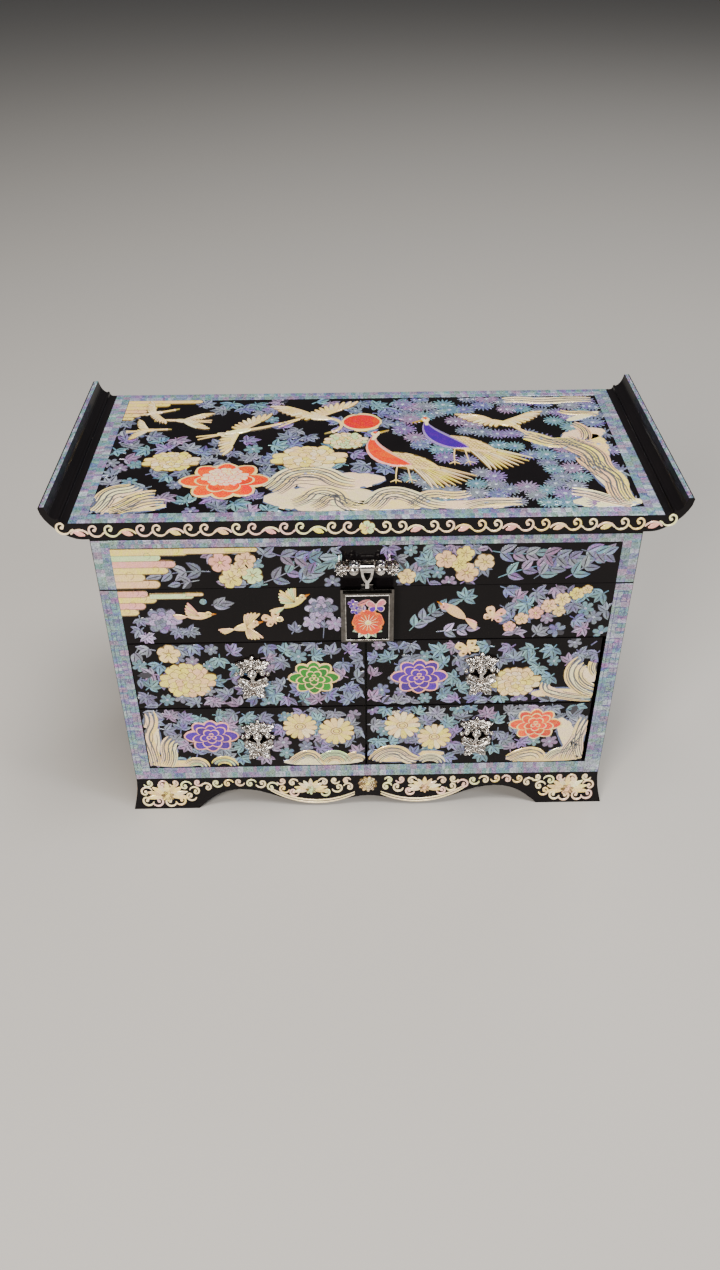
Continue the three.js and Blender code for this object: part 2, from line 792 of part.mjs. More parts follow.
const armoire = new THREE.Group();
armoire.add(makeBase(), makeCarcass(), makeWell(), makeLid(), makeClasp());
makeHinge(armoire, "left", -HINGE_SPACING / 2);
makeHinge(armoire, "right", HINGE_SPACING / 2);
for (const row of DRAWER_ROWS) {
  for (const column of DRAWER_COLUMNS) {
    armoire.add(makeDrawer(row, column));
  }
}

export default armoire;
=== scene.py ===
import math

import bpy
import numpy as np
from mathutils import Matrix, Vector


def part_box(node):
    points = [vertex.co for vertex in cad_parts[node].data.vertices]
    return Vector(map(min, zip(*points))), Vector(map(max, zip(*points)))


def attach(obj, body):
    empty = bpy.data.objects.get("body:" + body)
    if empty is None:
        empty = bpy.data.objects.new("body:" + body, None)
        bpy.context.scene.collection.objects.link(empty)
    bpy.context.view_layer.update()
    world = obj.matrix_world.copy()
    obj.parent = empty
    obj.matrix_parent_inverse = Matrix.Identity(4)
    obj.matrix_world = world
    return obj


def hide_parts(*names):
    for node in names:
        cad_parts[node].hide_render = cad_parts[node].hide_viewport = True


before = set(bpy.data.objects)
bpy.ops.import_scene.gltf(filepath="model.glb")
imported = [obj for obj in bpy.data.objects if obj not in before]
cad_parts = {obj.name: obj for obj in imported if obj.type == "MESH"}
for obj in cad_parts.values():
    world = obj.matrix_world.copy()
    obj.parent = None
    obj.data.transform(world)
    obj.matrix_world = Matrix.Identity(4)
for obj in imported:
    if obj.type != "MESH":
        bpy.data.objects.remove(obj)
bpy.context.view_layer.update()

# A black-lacquer jewelry box inlaid with shell. Every length below is in metres unless its
# name or comment says millimetres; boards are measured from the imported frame.
MM = 0.001

# ------------------------------------------------------------------ camera, light, floor

CAMERA_PLACE = (-8.5 * MM, -491.4 * MM, 459.3 * MM)
CAMERA_PITCH = math.radians(37.85)
CAMERA_YAW = math.radians(-0.63)
CAMERA_ROLL = math.radians(-0.487)
CAMERA_LENS = 29.45
FLOOR_REACH = 6.0


def place_camera():
    """The camera looks along +Y, turned by the yaw, tipped down by the pitch, then rolled."""
    data = bpy.data.cameras.new("camera")
    data.lens = CAMERA_LENS
    data.sensor_width = 36
    data.clip_start = 0.01
    camera = bpy.data.objects.new("camera", data)
    bpy.context.collection.objects.link(camera)
    turn = Matrix.Rotation(CAMERA_YAW, 4, "Z") @ Matrix.Rotation(math.pi / 2 - CAMERA_PITCH, 4, "X")
    camera.matrix_world = Matrix.Translation(CAMERA_PLACE) @ turn @ Matrix.Rotation(CAMERA_ROLL, 4, "Z")
    bpy.context.scene.camera = camera


def area_light(name, place, target, size, power, colour):
    """A softbox at a place, turned to face its target."""
    data = bpy.data.lights.new(name, "AREA")
    data.shape = "RECTANGLE"
    data.size, data.size_y = size
    data.energy = power
    data.color = colour
    lamp = bpy.data.objects.new(name, data)
    bpy.context.collection.objects.link(lamp)
    lamp.location = place
    lamp.rotation_euler = (Vector(target) - Vector(place)).to_track_quat("-Z", "Y").to_euler()


def light_the_studio():
    """Four softboxes and a dim even surround."""
    middle = (0, 0, 0.1)
    area_light("top_softbox", (0.15, -0.25, 1.7), middle, (0.8, 0.6), 38, (1.0, 0.96, 0.90))
    area_light("front_softbox", (-0.8, -1.5, 1.0), middle, (0.6, 0.6), 46, (1.0, 0.93, 0.85))
    area_light("right_softbox", (1.5, -0.7, 0.8), middle, (0.4, 0.7), 16, (0.93, 0.96, 1.0))
    area_light("back_softbox", (0.9, 1.5, 1.9), middle, (0.8, 0.5), 10, (0.95, 0.97, 1.0))
    world = bpy.data.worlds.new("studio")
    bpy.context.scene.world = world
    world.use_nodes = True
    world.node_tree.nodes["Background"].inputs[0].default_value = (0.82, 0.84, 0.88, 1)
    world.node_tree.nodes["Background"].inputs[1].default_value = 0.11


def lay_floor():
    """A plain pale floor, FLOOR_REACH from the middle to each edge."""
    mesh = bpy.data.meshes.new("floor")
    corners = [(x * FLOOR_REACH, y * FLOOR_REACH, 0) for x, y in ((-1, -1), (1, -1), (1, 1), (-1, 1))]
    mesh.from_pydata(corners, [], [(0, 1, 2, 3)])
    floor = bpy.data.objects.new("floor", mesh)
    bpy.context.collection.objects.link(floor)
    material = bpy.data.materials.new("pale_floor")
    material.use_nodes = True
    shader = material.node_tree.nodes["Principled BSDF"]
    shader.inputs["Base Color"].default_value = (0.40, 0.385, 0.365, 1)
    shader.inputs["Roughness"].default_value = 0.75
    floor.data.materials.append(material)


# ------------------------------------------------------------------ node helpers

class Nodes:
    """A short way to write a node tree: each call adds a node and links what it is given."""

    def __init__(self, name):
        self.material = bpy.data.materials.new(name)
        self.material.use_nodes = True
        self.tree = self.material.node_tree
        self.shader = self.tree.nodes["Principled BSDF"]

    def feed(self, socket, value):
        """Links another node's output to a socket, or sets a plain value on it."""
        if isinstance(value, bpy.types.NodeSocket):
            self.tree.links.new(value, socket)
        elif value is not None:
            socket.default_value = value

    def add(self, kind, inputs=(), output=0, **settings):
        """A node of a kind with its settings and inputs; gives back one of its outputs."""
        node = self.tree.nodes.new(kind)
        for key, value in settings.items():
            setattr(node, key, value)
        for key, value in dict(inputs).items():
            self.feed(node.inputs[key], value)
        return node.outputs[output]

    def place(self):
        """Object coordinates in millimetres."""
        coordinates = self.add("ShaderNodeTexCoord", output="Object")
        return self.add("ShaderNodeVectorMath", {0: coordinates, 3: 1 / MM}, operation="SCALE")

    def stretched(self, vector, scale):
        """The vector scaled by its own factor along each axis."""
        return self.add("ShaderNodeMapping", {"Vector": vector, "Scale": scale})

    def noise(self, vector, scale, detail=2.0, distortion=0.0, roughness=0.5):
        inputs = {
            "Vector": vector,
            "Scale": scale,
            "Detail": detail,
            "Distortion": distortion,
            "Roughness": roughness,
        }
        return self.add("ShaderNodeTexNoise", inputs)

    def math(self, operation, a, b):
        return self.add("ShaderNodeMath", {0: a, 1: b}, operation=operation)

    def span(self, value, low, high, to_low=0.0, to_high=1.0):
        """Carries value from the range low..high to the range to_low..to_high, clamped."""
        inputs = {"Value": value, "From Min": low, "From Max": high, "To Min": to_low, "To Max": to_high}
        return self.add("ShaderNodeMapRange", inputs)

    def ramp(self, factor, stops):
        """Colours along a scale, as pairs of place and colour."""
        node = self.tree.nodes.new("ShaderNodeValToRGB")
        self.feed(node.inputs[0], factor)
        elements = node.color_ramp.elements
        while len(elements) < len(stops):
            elements.new(0.5)
        for element, (position, colour) in zip(elements, stops):
            element.position = position
            element.color = (*colour, 1)
        return node.outputs[0]

    def mix(self, factor, a, b):
        """Colour a at factor 0, b at factor 1; each is a colour or a socket."""
        node = self.tree.nodes.new("ShaderNodeMix")
        node.data_type = "RGBA"
        self.feed(node.inputs[0], factor)
        self.feed(node.inputs[6], a if isinstance(a, bpy.types.NodeSocket) else (*a, 1))
        self.feed(node.inputs[7], b if isinstance(b, bpy.types.NodeSocket) else (*b, 1))
        return node.outputs[2]

    def bump(self, height, distance, strength=1.0):
        return self.add("ShaderNodeBump", {"Height": height, "Distance": distance, "Strength": strength})

    def finish(self, colour, roughness, metallic=0.0, normal=None, **fixed):
        """Fills the shader. fixed holds values set on the shader's own sockets."""
        self.feed(self.shader.inputs["Base Color"], colour)
        self.feed(self.shader.inputs["Roughness"], roughness)
        self.feed(self.shader.inputs["Metallic"], metallic)
        if normal is not None:
            self.feed(self.shader.inputs["Normal"], normal)
        for key, value in fixed.items():
            self.shader.inputs[key.replace("_", " ")].default_value = value
        return self.material


# ------------------------------------------------------------------ finishes

def black_lacquer():
    """Deep black with a faint warm cast, rubbed to a high gloss, dust-fine waviness left in it."""
    n = Nodes("black_lacquer")
    place = n.place()
    cloudy = n.noise(place, 0.03, 3)
    rubbed = n.noise(n.stretched(place, (0.4, 0.4, 2.0)), 1.3, 4)
    colour = n.mix(cloudy, (0.0030, 0.0027, 0.0032), (0.0075, 0.0060, 0.0065))
    roughness = n.span(rubbed, 0.3, 0.7, 0.10, 0.17)
    waviness = n.bump(n.noise(place, 0.12, 2), 0.00006)
    return n.finish(
        colour, roughness, normal=waviness, Specular_IOR_Level=0.10, Coat_Weight=0.07, Coat_Roughness=0.04,
    )


def stained_wood():
    """Dark-stained inside boards: grain running along X, satin."""
    n = Nodes("stained_wood")
    place = n.place()
    grain = n.noise(n.stretched(place, (0.06, 1.2, 1.2)), 1.6, 6, 0.6)
    pores = n.noise(n.stretched(place, (0.25, 5.0, 5.0)), 2.2, 3)
    colour = n.ramp(
        grain, [(0.3, (0.020, 0.010, 0.006)), (0.55, (0.052, 0.026, 0.015)), (0.8, (0.085, 0.045, 0.026))],
    )
    colour = n.mix(n.span(pores, 0.55, 0.7), colour, (0.012, 0.006, 0.004))
    normal = n.bump(pores, 0.0001, 0.5)
    return n.finish(colour, n.span(grain, 0.3, 0.7, 0.38, 0.55), normal=normal)


def red_velvet():
    """Short-pile velvet: soft mottling where the pile leans different ways, with sheen."""
    n = Nodes("red_velvet")
    place = n.place()
    lean = n.noise(place, 0.045, 3, 1.2)
    pile = n.noise(place, 3.2, 2)
    colour = n.mix(lean, (0.16, 0.008, 0.018), (0.34, 0.022, 0.040))
    colour = n.mix(n.span(pile, 0.35, 0.65), colour, (0.10, 0.005, 0.012))
    normal = n.bump(pile, 0.0003, 0.6)
    return n.finish(colour, 0.92, normal=normal, Sheen_Weight=0.9, Sheen_Roughness=0.35)


def silvered_mirror():
    """Silvered glass with a trace of haze."""
    n = Nodes("silvered_mirror")
    haze = n.noise(n.place(), 0.05, 3)
    colour = n.mix(haze, (0.86, 0.89, 0.89), (0.93, 0.95, 0.95))
    return n.finish(colour, n.span(haze, 0.3, 0.7, 0.015, 0.04), 1.0)


def cast_nickel(name, shade_hollows, dark=0.0):
    """Nickel plate: smoky patches and fine casting grain. A casting with shaded hollows also carries
    a height mask, 1 on its raised ridges and 0 in its hollows, and painted shade makes those hollows nearly
    black."""
    n = Nodes(name)
    place = n.place()
    smoke = n.noise(place, 0.35, 4, 0.8)
    grain = n.noise(place, 5.0, 3)
    colour = n.ramp(
        smoke, [(0.3, (0.30, 0.28, 0.26)), (0.48, (0.62, 0.59, 0.56)), (0.7, (0.90, 0.88, 0.85))],
    )
    colour = n.mix(dark, colour, (0.06, 0.055, 0.05))
    roughness = n.span(grain, 0.3, 0.7, 0.10, 0.22)
    normal = n.bump(grain, 0.00005, 0.3)
    if shade_hollows:
        # Painted shade: the hollows of the relief are mixed towards a near-black brown.
        polish = n.add("ShaderNodeAttribute", output="Fac", attribute_name="polish")
        colour = n.mix(n.span(polish, 0.0, 0.35), (0.17, 0.12, 0.085), colour)
    return n.finish(colour, roughness, 1.0, normal=normal)


def brushed_brass():
    """Yellow brass with fine brush lines along X."""
    n = Nodes("brushed_brass")
    place = n.place()
    lines = n.noise(n.stretched(place, (0.3, 9.0, 9.0)), 1.5, 3)
    age = n.noise(place, 0.2, 3)
    colour = n.mix(age, (0.50, 0.34, 0.13), (0.70, 0.52, 0.24))
    return n.finish(colour, n.span(lines, 0.3, 0.7, 0.24, 0.42), 1.0, normal=n.bump(lines, 0.00004, 0.4))


def shell(name, hue_swing, value_swing, line_strength, flash, depth):
    """Shell under clear lacquer. The piece's own colour (its "dye") shifts in hue and value
    with a slow cloud over the board, fine growth lines cross it, and small painted glints,
    bluish white spots of painted highlight, stand in it. flash is how bright those painted
    glints are, depth how far the cloud thins or deepens the colour."""
    n = Nodes(name)
    place = n.place()
    dye = n.add("ShaderNodeAttribute", output="Color", attribute_name="dye")
    along = n.add("ShaderNodeUVMap", uv_map="along")
    cloud = n.noise(place, 0.16, 3, 1.6)
    ripple = n.noise(place, 0.7, 4, 2.2, 0.6)
    lines = n.noise(n.stretched(along, (500.0, 2600.0, 1.0)), 1.0, 3, 1.0)
    hue = n.math(
        "ADD", n.span(cloud, 0.3, 0.7, -hue_swing, hue_swing),
        n.span(ripple, 0.35, 0.65, 0.5 - hue_swing / 2, 0.5 + hue_swing / 2),
    )
    value = n.math(
        "ADD", n.span(ripple, 0.3, 0.7, 1 - value_swing, 1 + value_swing),
        n.span(lines, 0.35, 0.65, -line_strength, line_strength),
    )
    colour = n.add(
        "ShaderNodeHueSaturation", {
            "Hue": hue, "Saturation": n.span(cloud, 0.3, 0.7, *depth), "Value": value, "Color": dye,
        }
    )
    # Painted highlight: small glints of the shell, mixed into the colour towards bluish white.
    sparkle = n.noise(place, 2.6, 2, 0.5)
    colour = n.mix(n.math("MULTIPLY", n.span(sparkle, 0.6, 0.72), flash), colour, (0.92, 0.95, 1.0))
    roughness = n.span(ripple, 0.3, 0.7, 0.18, 0.36)
    normal = n.bump(lines, 0.00008, 0.4)
    return n.finish(colour, roughness, 0.22, normal=normal, Coat_Weight=1.0, Coat_Roughness=0.05)


LACQUER = black_lacquer()
WOOD = stained_wood()
VELVET = red_velvet()
MIRROR = silvered_mirror()
NICKEL = cast_nickel("plated_nickel", False)
# The cast fittings' finish, with painted shade in the hollows of their relief.
SHADED_CAST_NICKEL = cast_nickel("cast_nickel", True)
GUNMETAL = cast_nickel("gunmetal", False, 0.88)
BRASS = brushed_brass()
ABALONE = shell("abalone_shell", 0.07, 0.42, 0.12, 0.40, (0.65, 1.15))
PEARL = shell("cream_pearl_shell", 0.022, 0.10, 0.05, 0.06, (1.05, 1.35))
BORDER = shell("border_shell", 0.12, 0.60, 0.34, 0.6, (0.75, 1.25))
DYED = shell("dyed_shell", 0.012, 0.16, 0.05, 0.0, (1.15, 1.45))

# Shell colours, linear.
BLUE = (0.10, 0.14, 0.31)
VIOLET = (0.15, 0.11, 0.32)
TEAL = (0.09, 0.24, 0.30)
SILVER = (0.38, 0.44, 0.58)
LILAC = (0.34, 0.26, 0.50)
SLATE = (0.13, 0.15, 0.24)
STEEL = (0.12, 0.15, 0.25)
GREY = (0.17, 0.19, 0.26)
UMBER = (0.16, 0.11, 0.05)
MAUVE = (0.23, 0.15, 0.29)
CREAM = (0.95, 0.73, 0.38)
IVORY = (0.97, 0.82, 0.54)
YELLOW = (0.93, 0.78, 0.30)
ROSE = (0.93, 0.50, 0.44)
PEACH = (0.94, 0.64, 0.40)
MINT = (0.66, 0.82, 0.46)
PURPLE = (0.085, 0.03, 0.30)
CORAL = (0.88, 0.13, 0.075)
RED = (0.72, 0.025, 0.02)
GREEN = (0.035, 0.20, 0.035)
INK = (0.02, 0.02, 0.03)
BEAK_HORN = (0.5, 0.36, 0.12)

BORDER_TINTS = (
    (0.13, 0.18, 0.29), (0.19, 0.16, 0.32), (0.11, 0.25, 0.29), (0.25, 0.20, 0.30), (0.16, 0.28, 0.27),
    (0.31, 0.36, 0.43),
)
CLOUD_TINTS = (CREAM, IVORY, (0.96, 0.78, 0.42), (0.97, 0.74, 0.52), (0.90, 0.84, 0.54))
LEAF_TINTS = (STEEL, BLUE, VIOLET, TEAL, STEEL, GREY, TEAL, MAUVE)

# ------------------------------------------------------------------ meshes

def fill_mesh(name, points, quads, caps, smooth=False):
    """A mesh from whole arrays: points (n, 3), four-sided faces and many-sided cap faces."""
    mesh = bpy.data.meshes.new(name)
    mesh.vertices.add(len(points))
    mesh.vertices.foreach_set("co", np.asarray(points, np.float32).ravel())
    loops = np.concatenate([np.ravel(quads), np.ravel(caps)]).astype(np.int32)
    totals = np.concatenate([np.full(len(quads), 4), np.full(len(caps), caps.shape[1])]).astype(np.int32)
    starts = np.concatenate([[0], np.cumsum(totals)[:-1]]).astype(np.int32)
    mesh.loops.add(len(loops))
    mesh.loops.foreach_set("vertex_index", loops)
    mesh.polygons.add(len(totals))
    mesh.polygons.foreach_set("loop_start", starts)
    mesh.polygons.foreach_set("loop_total", totals)
    mesh.polygons.foreach_set("use_smooth", np.full(len(totals), smooth))
    mesh.update(calc_edges=True)
    mesh.validate()
    return mesh, loops


def show(mesh, name, body, material, replaced=()):
    """Hangs a finished mesh on a body and hides the imported parts it stands in for."""
    piece = bpy.data.objects.new(name, mesh)
    bpy.context.collection.objects.link(piece)
    mesh.materials.append(material)
    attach(piece, body)
    if replaced:
        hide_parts(*replaced)
    return piece


def tube_faces(count, rings, sides, clockwise=False):
    """Faces of `count` closed tubes laid out as (tube, ring, side): quads between rings and
    one cap at each end, all facing outwards. clockwise tells which way round the rings run
    when looked at along the tube."""
    first = np.arange(count)[:, None, None] * rings * sides
    ring = np.arange(rings - 1)[None, :, None] * sides
    side = np.arange(sides)[None, None, :]
    after = (side + 1) % sides
    a = first + ring + side
    b = first + ring + after
    quads = np.stack([a, b, b + sides, a + sides], -1).reshape(-1, 4)
    base = np.arange(count)[:, None] * rings * sides
    start = base + np.arange(sides)[::-1][None, :]
    end = base + (rings - 1) * sides + np.arange(sides)[None, :]
    caps = np.concatenate([start, end])
    return (quads[:, ::-1], caps[:, ::-1]) if clockwise else (quads, caps)


# A stroke's cross-section, seen along it: across from -1 to 1 and up from -1 (sunk in the
# lacquer) to 1 (the polished face), with a small chamfer.
FLAT_ACROSS = np.array([-1.0, -1.0, -0.80, 0.80, 1.0, 1.0])
FLAT_UP = np.array([-1.0, 0.45, 1.0, 1.0, 0.45, -1.0])


# Each stroke lies a hair higher than the one before, so no two faces coincide. Figures lie
# FIGURE higher than the foliage round them.
HAIR = 0.0008
HAIRS = 200
FIGURE = 0.17


class Board:
    """A flat field with its own two axes, on which shell strokes are laid.

    origin is the point of the field's plane nearest the frame's origin, right and up its axes
    and out its outward normal, so places on it are the frame's own coordinates in
    millimetres. flare, if given, is how far the face stands out at each height. limits, if
    given, are the field's edges (left, right, low, high), where strokes are cut off.
    """

    def __init__(self, name, origin, right, up, body, seed=1, flare=None, limits=None):
        self.name = name
        self.origin = np.array(origin, float)
        self.right = np.array(right, float)
        self.up = np.array(up, float)
        self.out = np.cross(self.right, self.up)
        self.body = body
        self.rng = np.random.default_rng(seed)
        self.flare = flare
        self.limits = limits
        self.laid = 0
        self.level = 0.0
        self.strokes = {}

    def stroke(self, kind, x, y, heading, length, half, shape=(0.7, 0.9), turn=0.0, curl=0.0,
               edges=(1.0, -1.0), lift=0.0, dye=CREAM, rings=8):
        """Lays one stroke of shell: from (x, y) along heading, turning by turn (plus curl,
        which grows with the square of the way along), half as wide as `half` at its widest.
        shape holds the two powers of its outline, edges where its sides lie."""
        self.laid += 1
        own = self.level + lift + HAIR * (self.laid % HAIRS)
        row = (x, y, heading, length, half, *shape, turn, curl, *edges, own, *dye)
        self.strokes.setdefault((kind, rings), []).append(row)

    def begin(self, level=FIGURE):
        """The next strokes belong to one figure, which lies at this level."""
        self.laid = 0
        self.level = level

    def lay(self, material_of, slots_of):
        """Makes one piece for each kind of shell on the board."""
        made = {}
        for (kind, rings), rows in self.strokes.items():
            cut = cut_off(*stroke_rings(np.array(rows), rings), self.limits)
            made.setdefault(kind, []).append(cut)
        for kind, parts in made.items():
            build_strokes(self, kind, parts, material_of[kind])


STROKE_STEPS = 60
RELIEF = 0.16
SUNK = 0.12


def stroke_rings(rows, rings):
    """The rings of a batch of strokes.

    The spine's heading is heading + turn*u + curl*u^2 at the share u of the way along; its
    place is the running sum of the unit steps in that heading. The half-width is
    half * u^a * (1 - u)^b over its own greatest value. Each ring is the flat section scaled
    to that width and set square to the spine.
    """
    x, y, heading, length, half, a, b, turn, curl, left, right, lift = (rows[:, i, None] for i in range(12))
    dye = rows[:, 12:15]
    fine = (np.arange(STROKE_STEPS) + 0.5) / STROKE_STEPS
    angle = heading + turn * fine + curl * fine ** 2
    step = length / STROKE_STEPS
    zero = np.zeros((len(rows), 1))
    along_x = np.concatenate([zero, np.cumsum(np.cos(angle) * step, 1)], 1) + x
    along_y = np.concatenate([zero, np.cumsum(np.sin(angle) * step, 1)], 1) + y
    share = 0.5 - 0.5 * np.cos(np.linspace(0.12, np.pi - 0.12, rings))
    share = np.clip((share - share[0]) / (share[-1] - share[0]), 0, 1)
    pick = np.round(share * STROKE_STEPS).astype(int)
    centre_x, centre_y = along_x[:, pick], along_y[:, pick]
    share = pick / STROKE_STEPS
    facing = heading + turn * share + curl * share ** 2
    inside = np.clip(share, 0.012, 0.988)
    outline = inside ** a * (1 - inside) ** b
    total = np.maximum(a + b, 1e-6)
    greatest = np.where(a + b > 0, (a / total) ** a * (b / total) ** b, 1.0)
    width = half * outline / greatest
    across = np.where(FLAT_ACROSS > 0, FLAT_ACROSS * left[..., None], -FLAT_ACROSS * right[..., None])
    inner = np.abs(FLAT_ACROSS) < 0.9
    middle = (left[..., None] + right[..., None]) / 2
    across = np.where(inner, middle + (across / 0.8 - middle) * 0.8, across)
    side = width[..., None] * across
    px = centre_x[..., None] - np.sin(facing)[..., None] * side
    py = centre_y[..., None] + np.cos(facing)[..., None] * side
    up = np.where(FLAT_UP > 0, FLAT_UP * (RELIEF + lift[..., None]), -SUNK)
    pz = np.broadcast_to(up, px.shape)
    run = (share * length)[..., None] + np.zeros_like(px)
    return np.stack([px, py, pz], -1), np.stack([run, side], -1), dye


def cut_off(rings, run, dye, limits):
    """Cuts strokes off at the edges of their field: those that lie mostly outside are left
    out, and the points of the others are moved in to the edge."""
    if limits is None:
        return rings, run, dye
    left, right, low, high = limits
    x, y = rings[..., 0], rings[..., 1]
    slack = 0.05
    outside = (x < left - slack) | (x > right + slack) | (y < low - slack) | (y > high + slack)
    kept = outside.mean((1, 2)) < 0.4
    rings, run, dye = rings[kept], run[kept], dye[kept]
    rings[..., 0] = np.clip(rings[..., 0], left, right)
    rings[..., 1] = np.clip(rings[..., 1], low, high)
    return rings, run, dye


def build_strokes(board, kind, parts, material):
    """One closed mesh of all the strokes of one kind, with their dye and their own map."""
    points, quads, caps, maps, dyes = [], [], [], [], []
    base = 0
    for rings, run, dye in parts:
        count, along, sides = rings.shape[:3]
        these, ends = tube_faces(count, along, sides, clockwise=True)
        quads.append(these + base)
        caps.append(ends + base)
        base += count * along * sides
        points.append(rings.reshape(-1, 3))
        maps.append(run.reshape(-1, 2))
        dyes.append(np.repeat(dye, along * sides, 0))
    flat = np.concatenate(points)
    if board.flare is not None:
        flat[:, 2] += board.flare(flat[:, 1])
    axes = np.stack([board.right, board.up, board.out])
    placed = board.origin + flat * MM @ axes
    mesh, loops = fill_mesh(f"{board.name}_{kind}", placed, np.concatenate(quads), np.concatenate(caps))
    along = mesh.uv_layers.new(name="along")
    along.data.foreach_set("uv", (np.concatenate(maps)[loops] * MM).astype(np.float32).ravel())
    colour = np.concatenate([np.concatenate(dyes), np.ones((base, 1))], 1)
    dye = mesh.color_attributes.new("dye", "FLOAT_COLOR", "POINT")
    dye.data.foreach_set("color", colour.astype(np.float32).ravel())
    show(mesh, f"{board.name}_{kind}", board.body, material)


# ------------------------------------------------------------------ motifs

def varied(board, tints, spread=0.18):
    """One of the tints, a little lighter or darker."""
    tint = np.array(tints[board.rng.integers(len(tints))])
    return tuple(np.clip(tint * (1 + board.rng.uniform(-spread, spread)), 0, 1))


def towards(x, y, angle, distance):
    """The place at a distance from (x, y) in the direction of an angle."""
    return x + distance * math.cos(angle), y + distance * math.sin(angle)


def walk(x, y, heading, length, turn=0.0, curl=0.0, share=1.0):
    """Where a stroke is at a share of its way along, and its heading there."""
    u = (np.arange(STROKE_STEPS) + 0.5) / STROKE_STEPS * share
    angle = heading + turn * u + curl * u ** 2
    step = length * share / STROKE_STEPS
    end = heading + turn * share + curl * share ** 2
    return x + float(np.cos(angle).sum()) * step, y + float(np.sin(angle).sum()) * step, end


def ground(board, x, y, angle, length, half, shape, bend=0.0, lift=0.0, tone=INK, margin=0.2):
    """A dark stroke a little larger than the one to be laid on it, so that it stands off
    from what lies beneath."""
    start = towards(x, y, angle, -margin)
    board.stroke(
        "dyed", *start, angle, length + 2 * margin, half + margin, shape, bend, dye=tone, lift=lift,
        rings=7,
    )


def leaf(board, x, y, angle, length, half, tints=LEAF_TINTS, bend=0.0, kind="abalone"):
    """Two half-leaves with a hair of lacquer between them for the midrib."""
    dye = varied(board, tints, 0.34)
    pale = tuple(min(1.0, 1.4 * c) for c in dye)
    ground(board, x, y, angle, length, half, (0.6, 1.0), bend)
    for edges, tint in (((1.0, 0.06), dye), ((-0.06, -1.0), pale)):
        board.stroke(kind, x, y, angle, length, half, (0.6, 1.0), bend, edges=edges, dye=tint)


def stem(board, x, y, angle, length, half, bend=0.0, tints=LEAF_TINTS):
    """A slim stroke of nearly even width, a little under the leaves."""
    dye = varied(board, tints)
    board.stroke("abalone", x, y, angle, length, half, (0.12, 0.3), bend, dye=dye, lift=-0.03)


def sprig(board, x, y, angle, length, pairs, leaf_length, leaf_half, tints=LEAF_TINTS, bend=0.0):
    """A bending stem with leaves in pairs and one at its tip."""
    board.level = 0.0
    stem(board, x, y, angle, length, 0.3, bend, tints=tints)
    for i in range(pairs):
        at_x, at_y, heading = walk(x, y, angle, length, bend, share=(i + 0.7) / (pairs + 0.4))
        size = leaf_length * (1.0 - 0.25 * i / pairs)
        for side in (-1, 1):
            turn = heading + side * board.rng.uniform(0.65, 0.95)
            leaf(board, at_x, at_y, turn, size, leaf_half, tints, -side * 0.35)
    tip_x, tip_y, heading = walk(x, y, angle, length, bend)
    leaf(board, tip_x, tip_y, heading, leaf_length, leaf_half, tints)


def leaf_cluster(board, x, y, size=1.0, tints=LEAF_TINTS):
    """A peony leaf: four to six broad pointed lobes fanned from one point."""
    facing = board.rng.uniform(0, 2 * math.pi)
    count = board.rng.integers(4, 7)
    own = (tints[board.rng.integers(len(tints))],)
    stem(board, *towards(x, y, facing + math.pi, 3.6 * size), facing, 4.0 * size, 0.36, tints=own)
    for i in range(count):
        off = i - (count - 1) / 2
        length = size * board.rng.uniform(6.2, 8.0) * (1.0 - 0.07 * abs(off))
        leaf(board, x, y, facing + off * 0.86, length, 0.28 * length, own, -0.2 * off)


def small_flower(board, x, y, radius=4.0, tints=LEAF_TINTS):
    """A little six-petalled flower in abalone."""
    own = (tints[board.rng.integers(len(tints))],)
    petals(
        board, x, y, 6, board.rng.uniform(0, 1), radius, 0.36 * radius, (0.7, 0.4), own, "abalone",
        0.10 * radius, edge=INK,
    )
    disc(board, x, y, 0.2 * radius, SILVER, "abalone", 0.08)


def disc(board, x, y, radius, dye, kind="pearl", lift=0.06, rings=8):
    """A round of shell: a short stroke whose outline is a half ellipse on both sides."""
    board.stroke(kind, x - radius, y, 0.0, 2 * radius, radius, (0.5, 0.5), dye=dye, lift=lift, rings=rings)


def petals(
    board, x, y, count, start, length, half, shape, tints, kind, offset=0.0, lift=0.0, rings=8, edge=None,
):
    """Equal strokes all round a point, each on a dark ground if edge gives its tone."""
    for i in range(count):
        angle = start + 2 * math.pi * i / count
        at = towards(x, y, angle, offset)
        dye = varied(board, tints, 0.1)
        if edge is not None:
            ground(board, *at, angle, length, half, shape, 0.0, lift, edge, 0.16)
        board.stroke(kind, *at, angle, length, half, shape, dye=dye, lift=lift, rings=rings)


def plum(board, x, y, radius, tints, kind="pearl", eye=YELLOW):
    """Plum blossom: five round petals, a ring of stamens and an eye."""
    board.begin()
    turn = board.rng.uniform(0, 2)
    petals(
        board, x, y, 5, turn, 0.98 * radius, 0.52 * radius, (0.7, 0.36), tints, kind, 0.05 * radius,
        edge=UMBER,
    )
    petals(
        board, x, y, 5, turn, 0.42 * radius, 0.05 * radius, (0.1, 0.3), (UMBER,), "dyed", 0.2 * radius,
        0.05, 5,
    )
    disc(board, x, y, 0.2 * radius, UMBER, "dyed", 0.1)
    disc(board, x, y, 0.15 * radius, eye, lift=0.14)


def daisy(board, x, y, radius, tints=(CREAM, YELLOW, IVORY), count=13):
    """Daisy: long round-ended petals round a ringed eye."""
    board.begin()
    turn = board.rng.uniform(0, 1)
    petals(
        board, x, y, count, turn, 0.78 * radius, 0.205 * radius, (0.5, 0.24), tints, "pearl", 0.22 * radius,
        edge=UMBER,
    )
    for values in (
        (x, y, 0.33 * radius, UMBER, "dyed", 0.03),
        (x, y, 0.28 * radius, CREAM, "pearl", 0.08),
        (x, y, 0.19 * radius, UMBER, "dyed", 0.10),
        (x, y, 0.14 * radius, YELLOW, "pearl", 0.16),
    ):
        disc(board, *values)


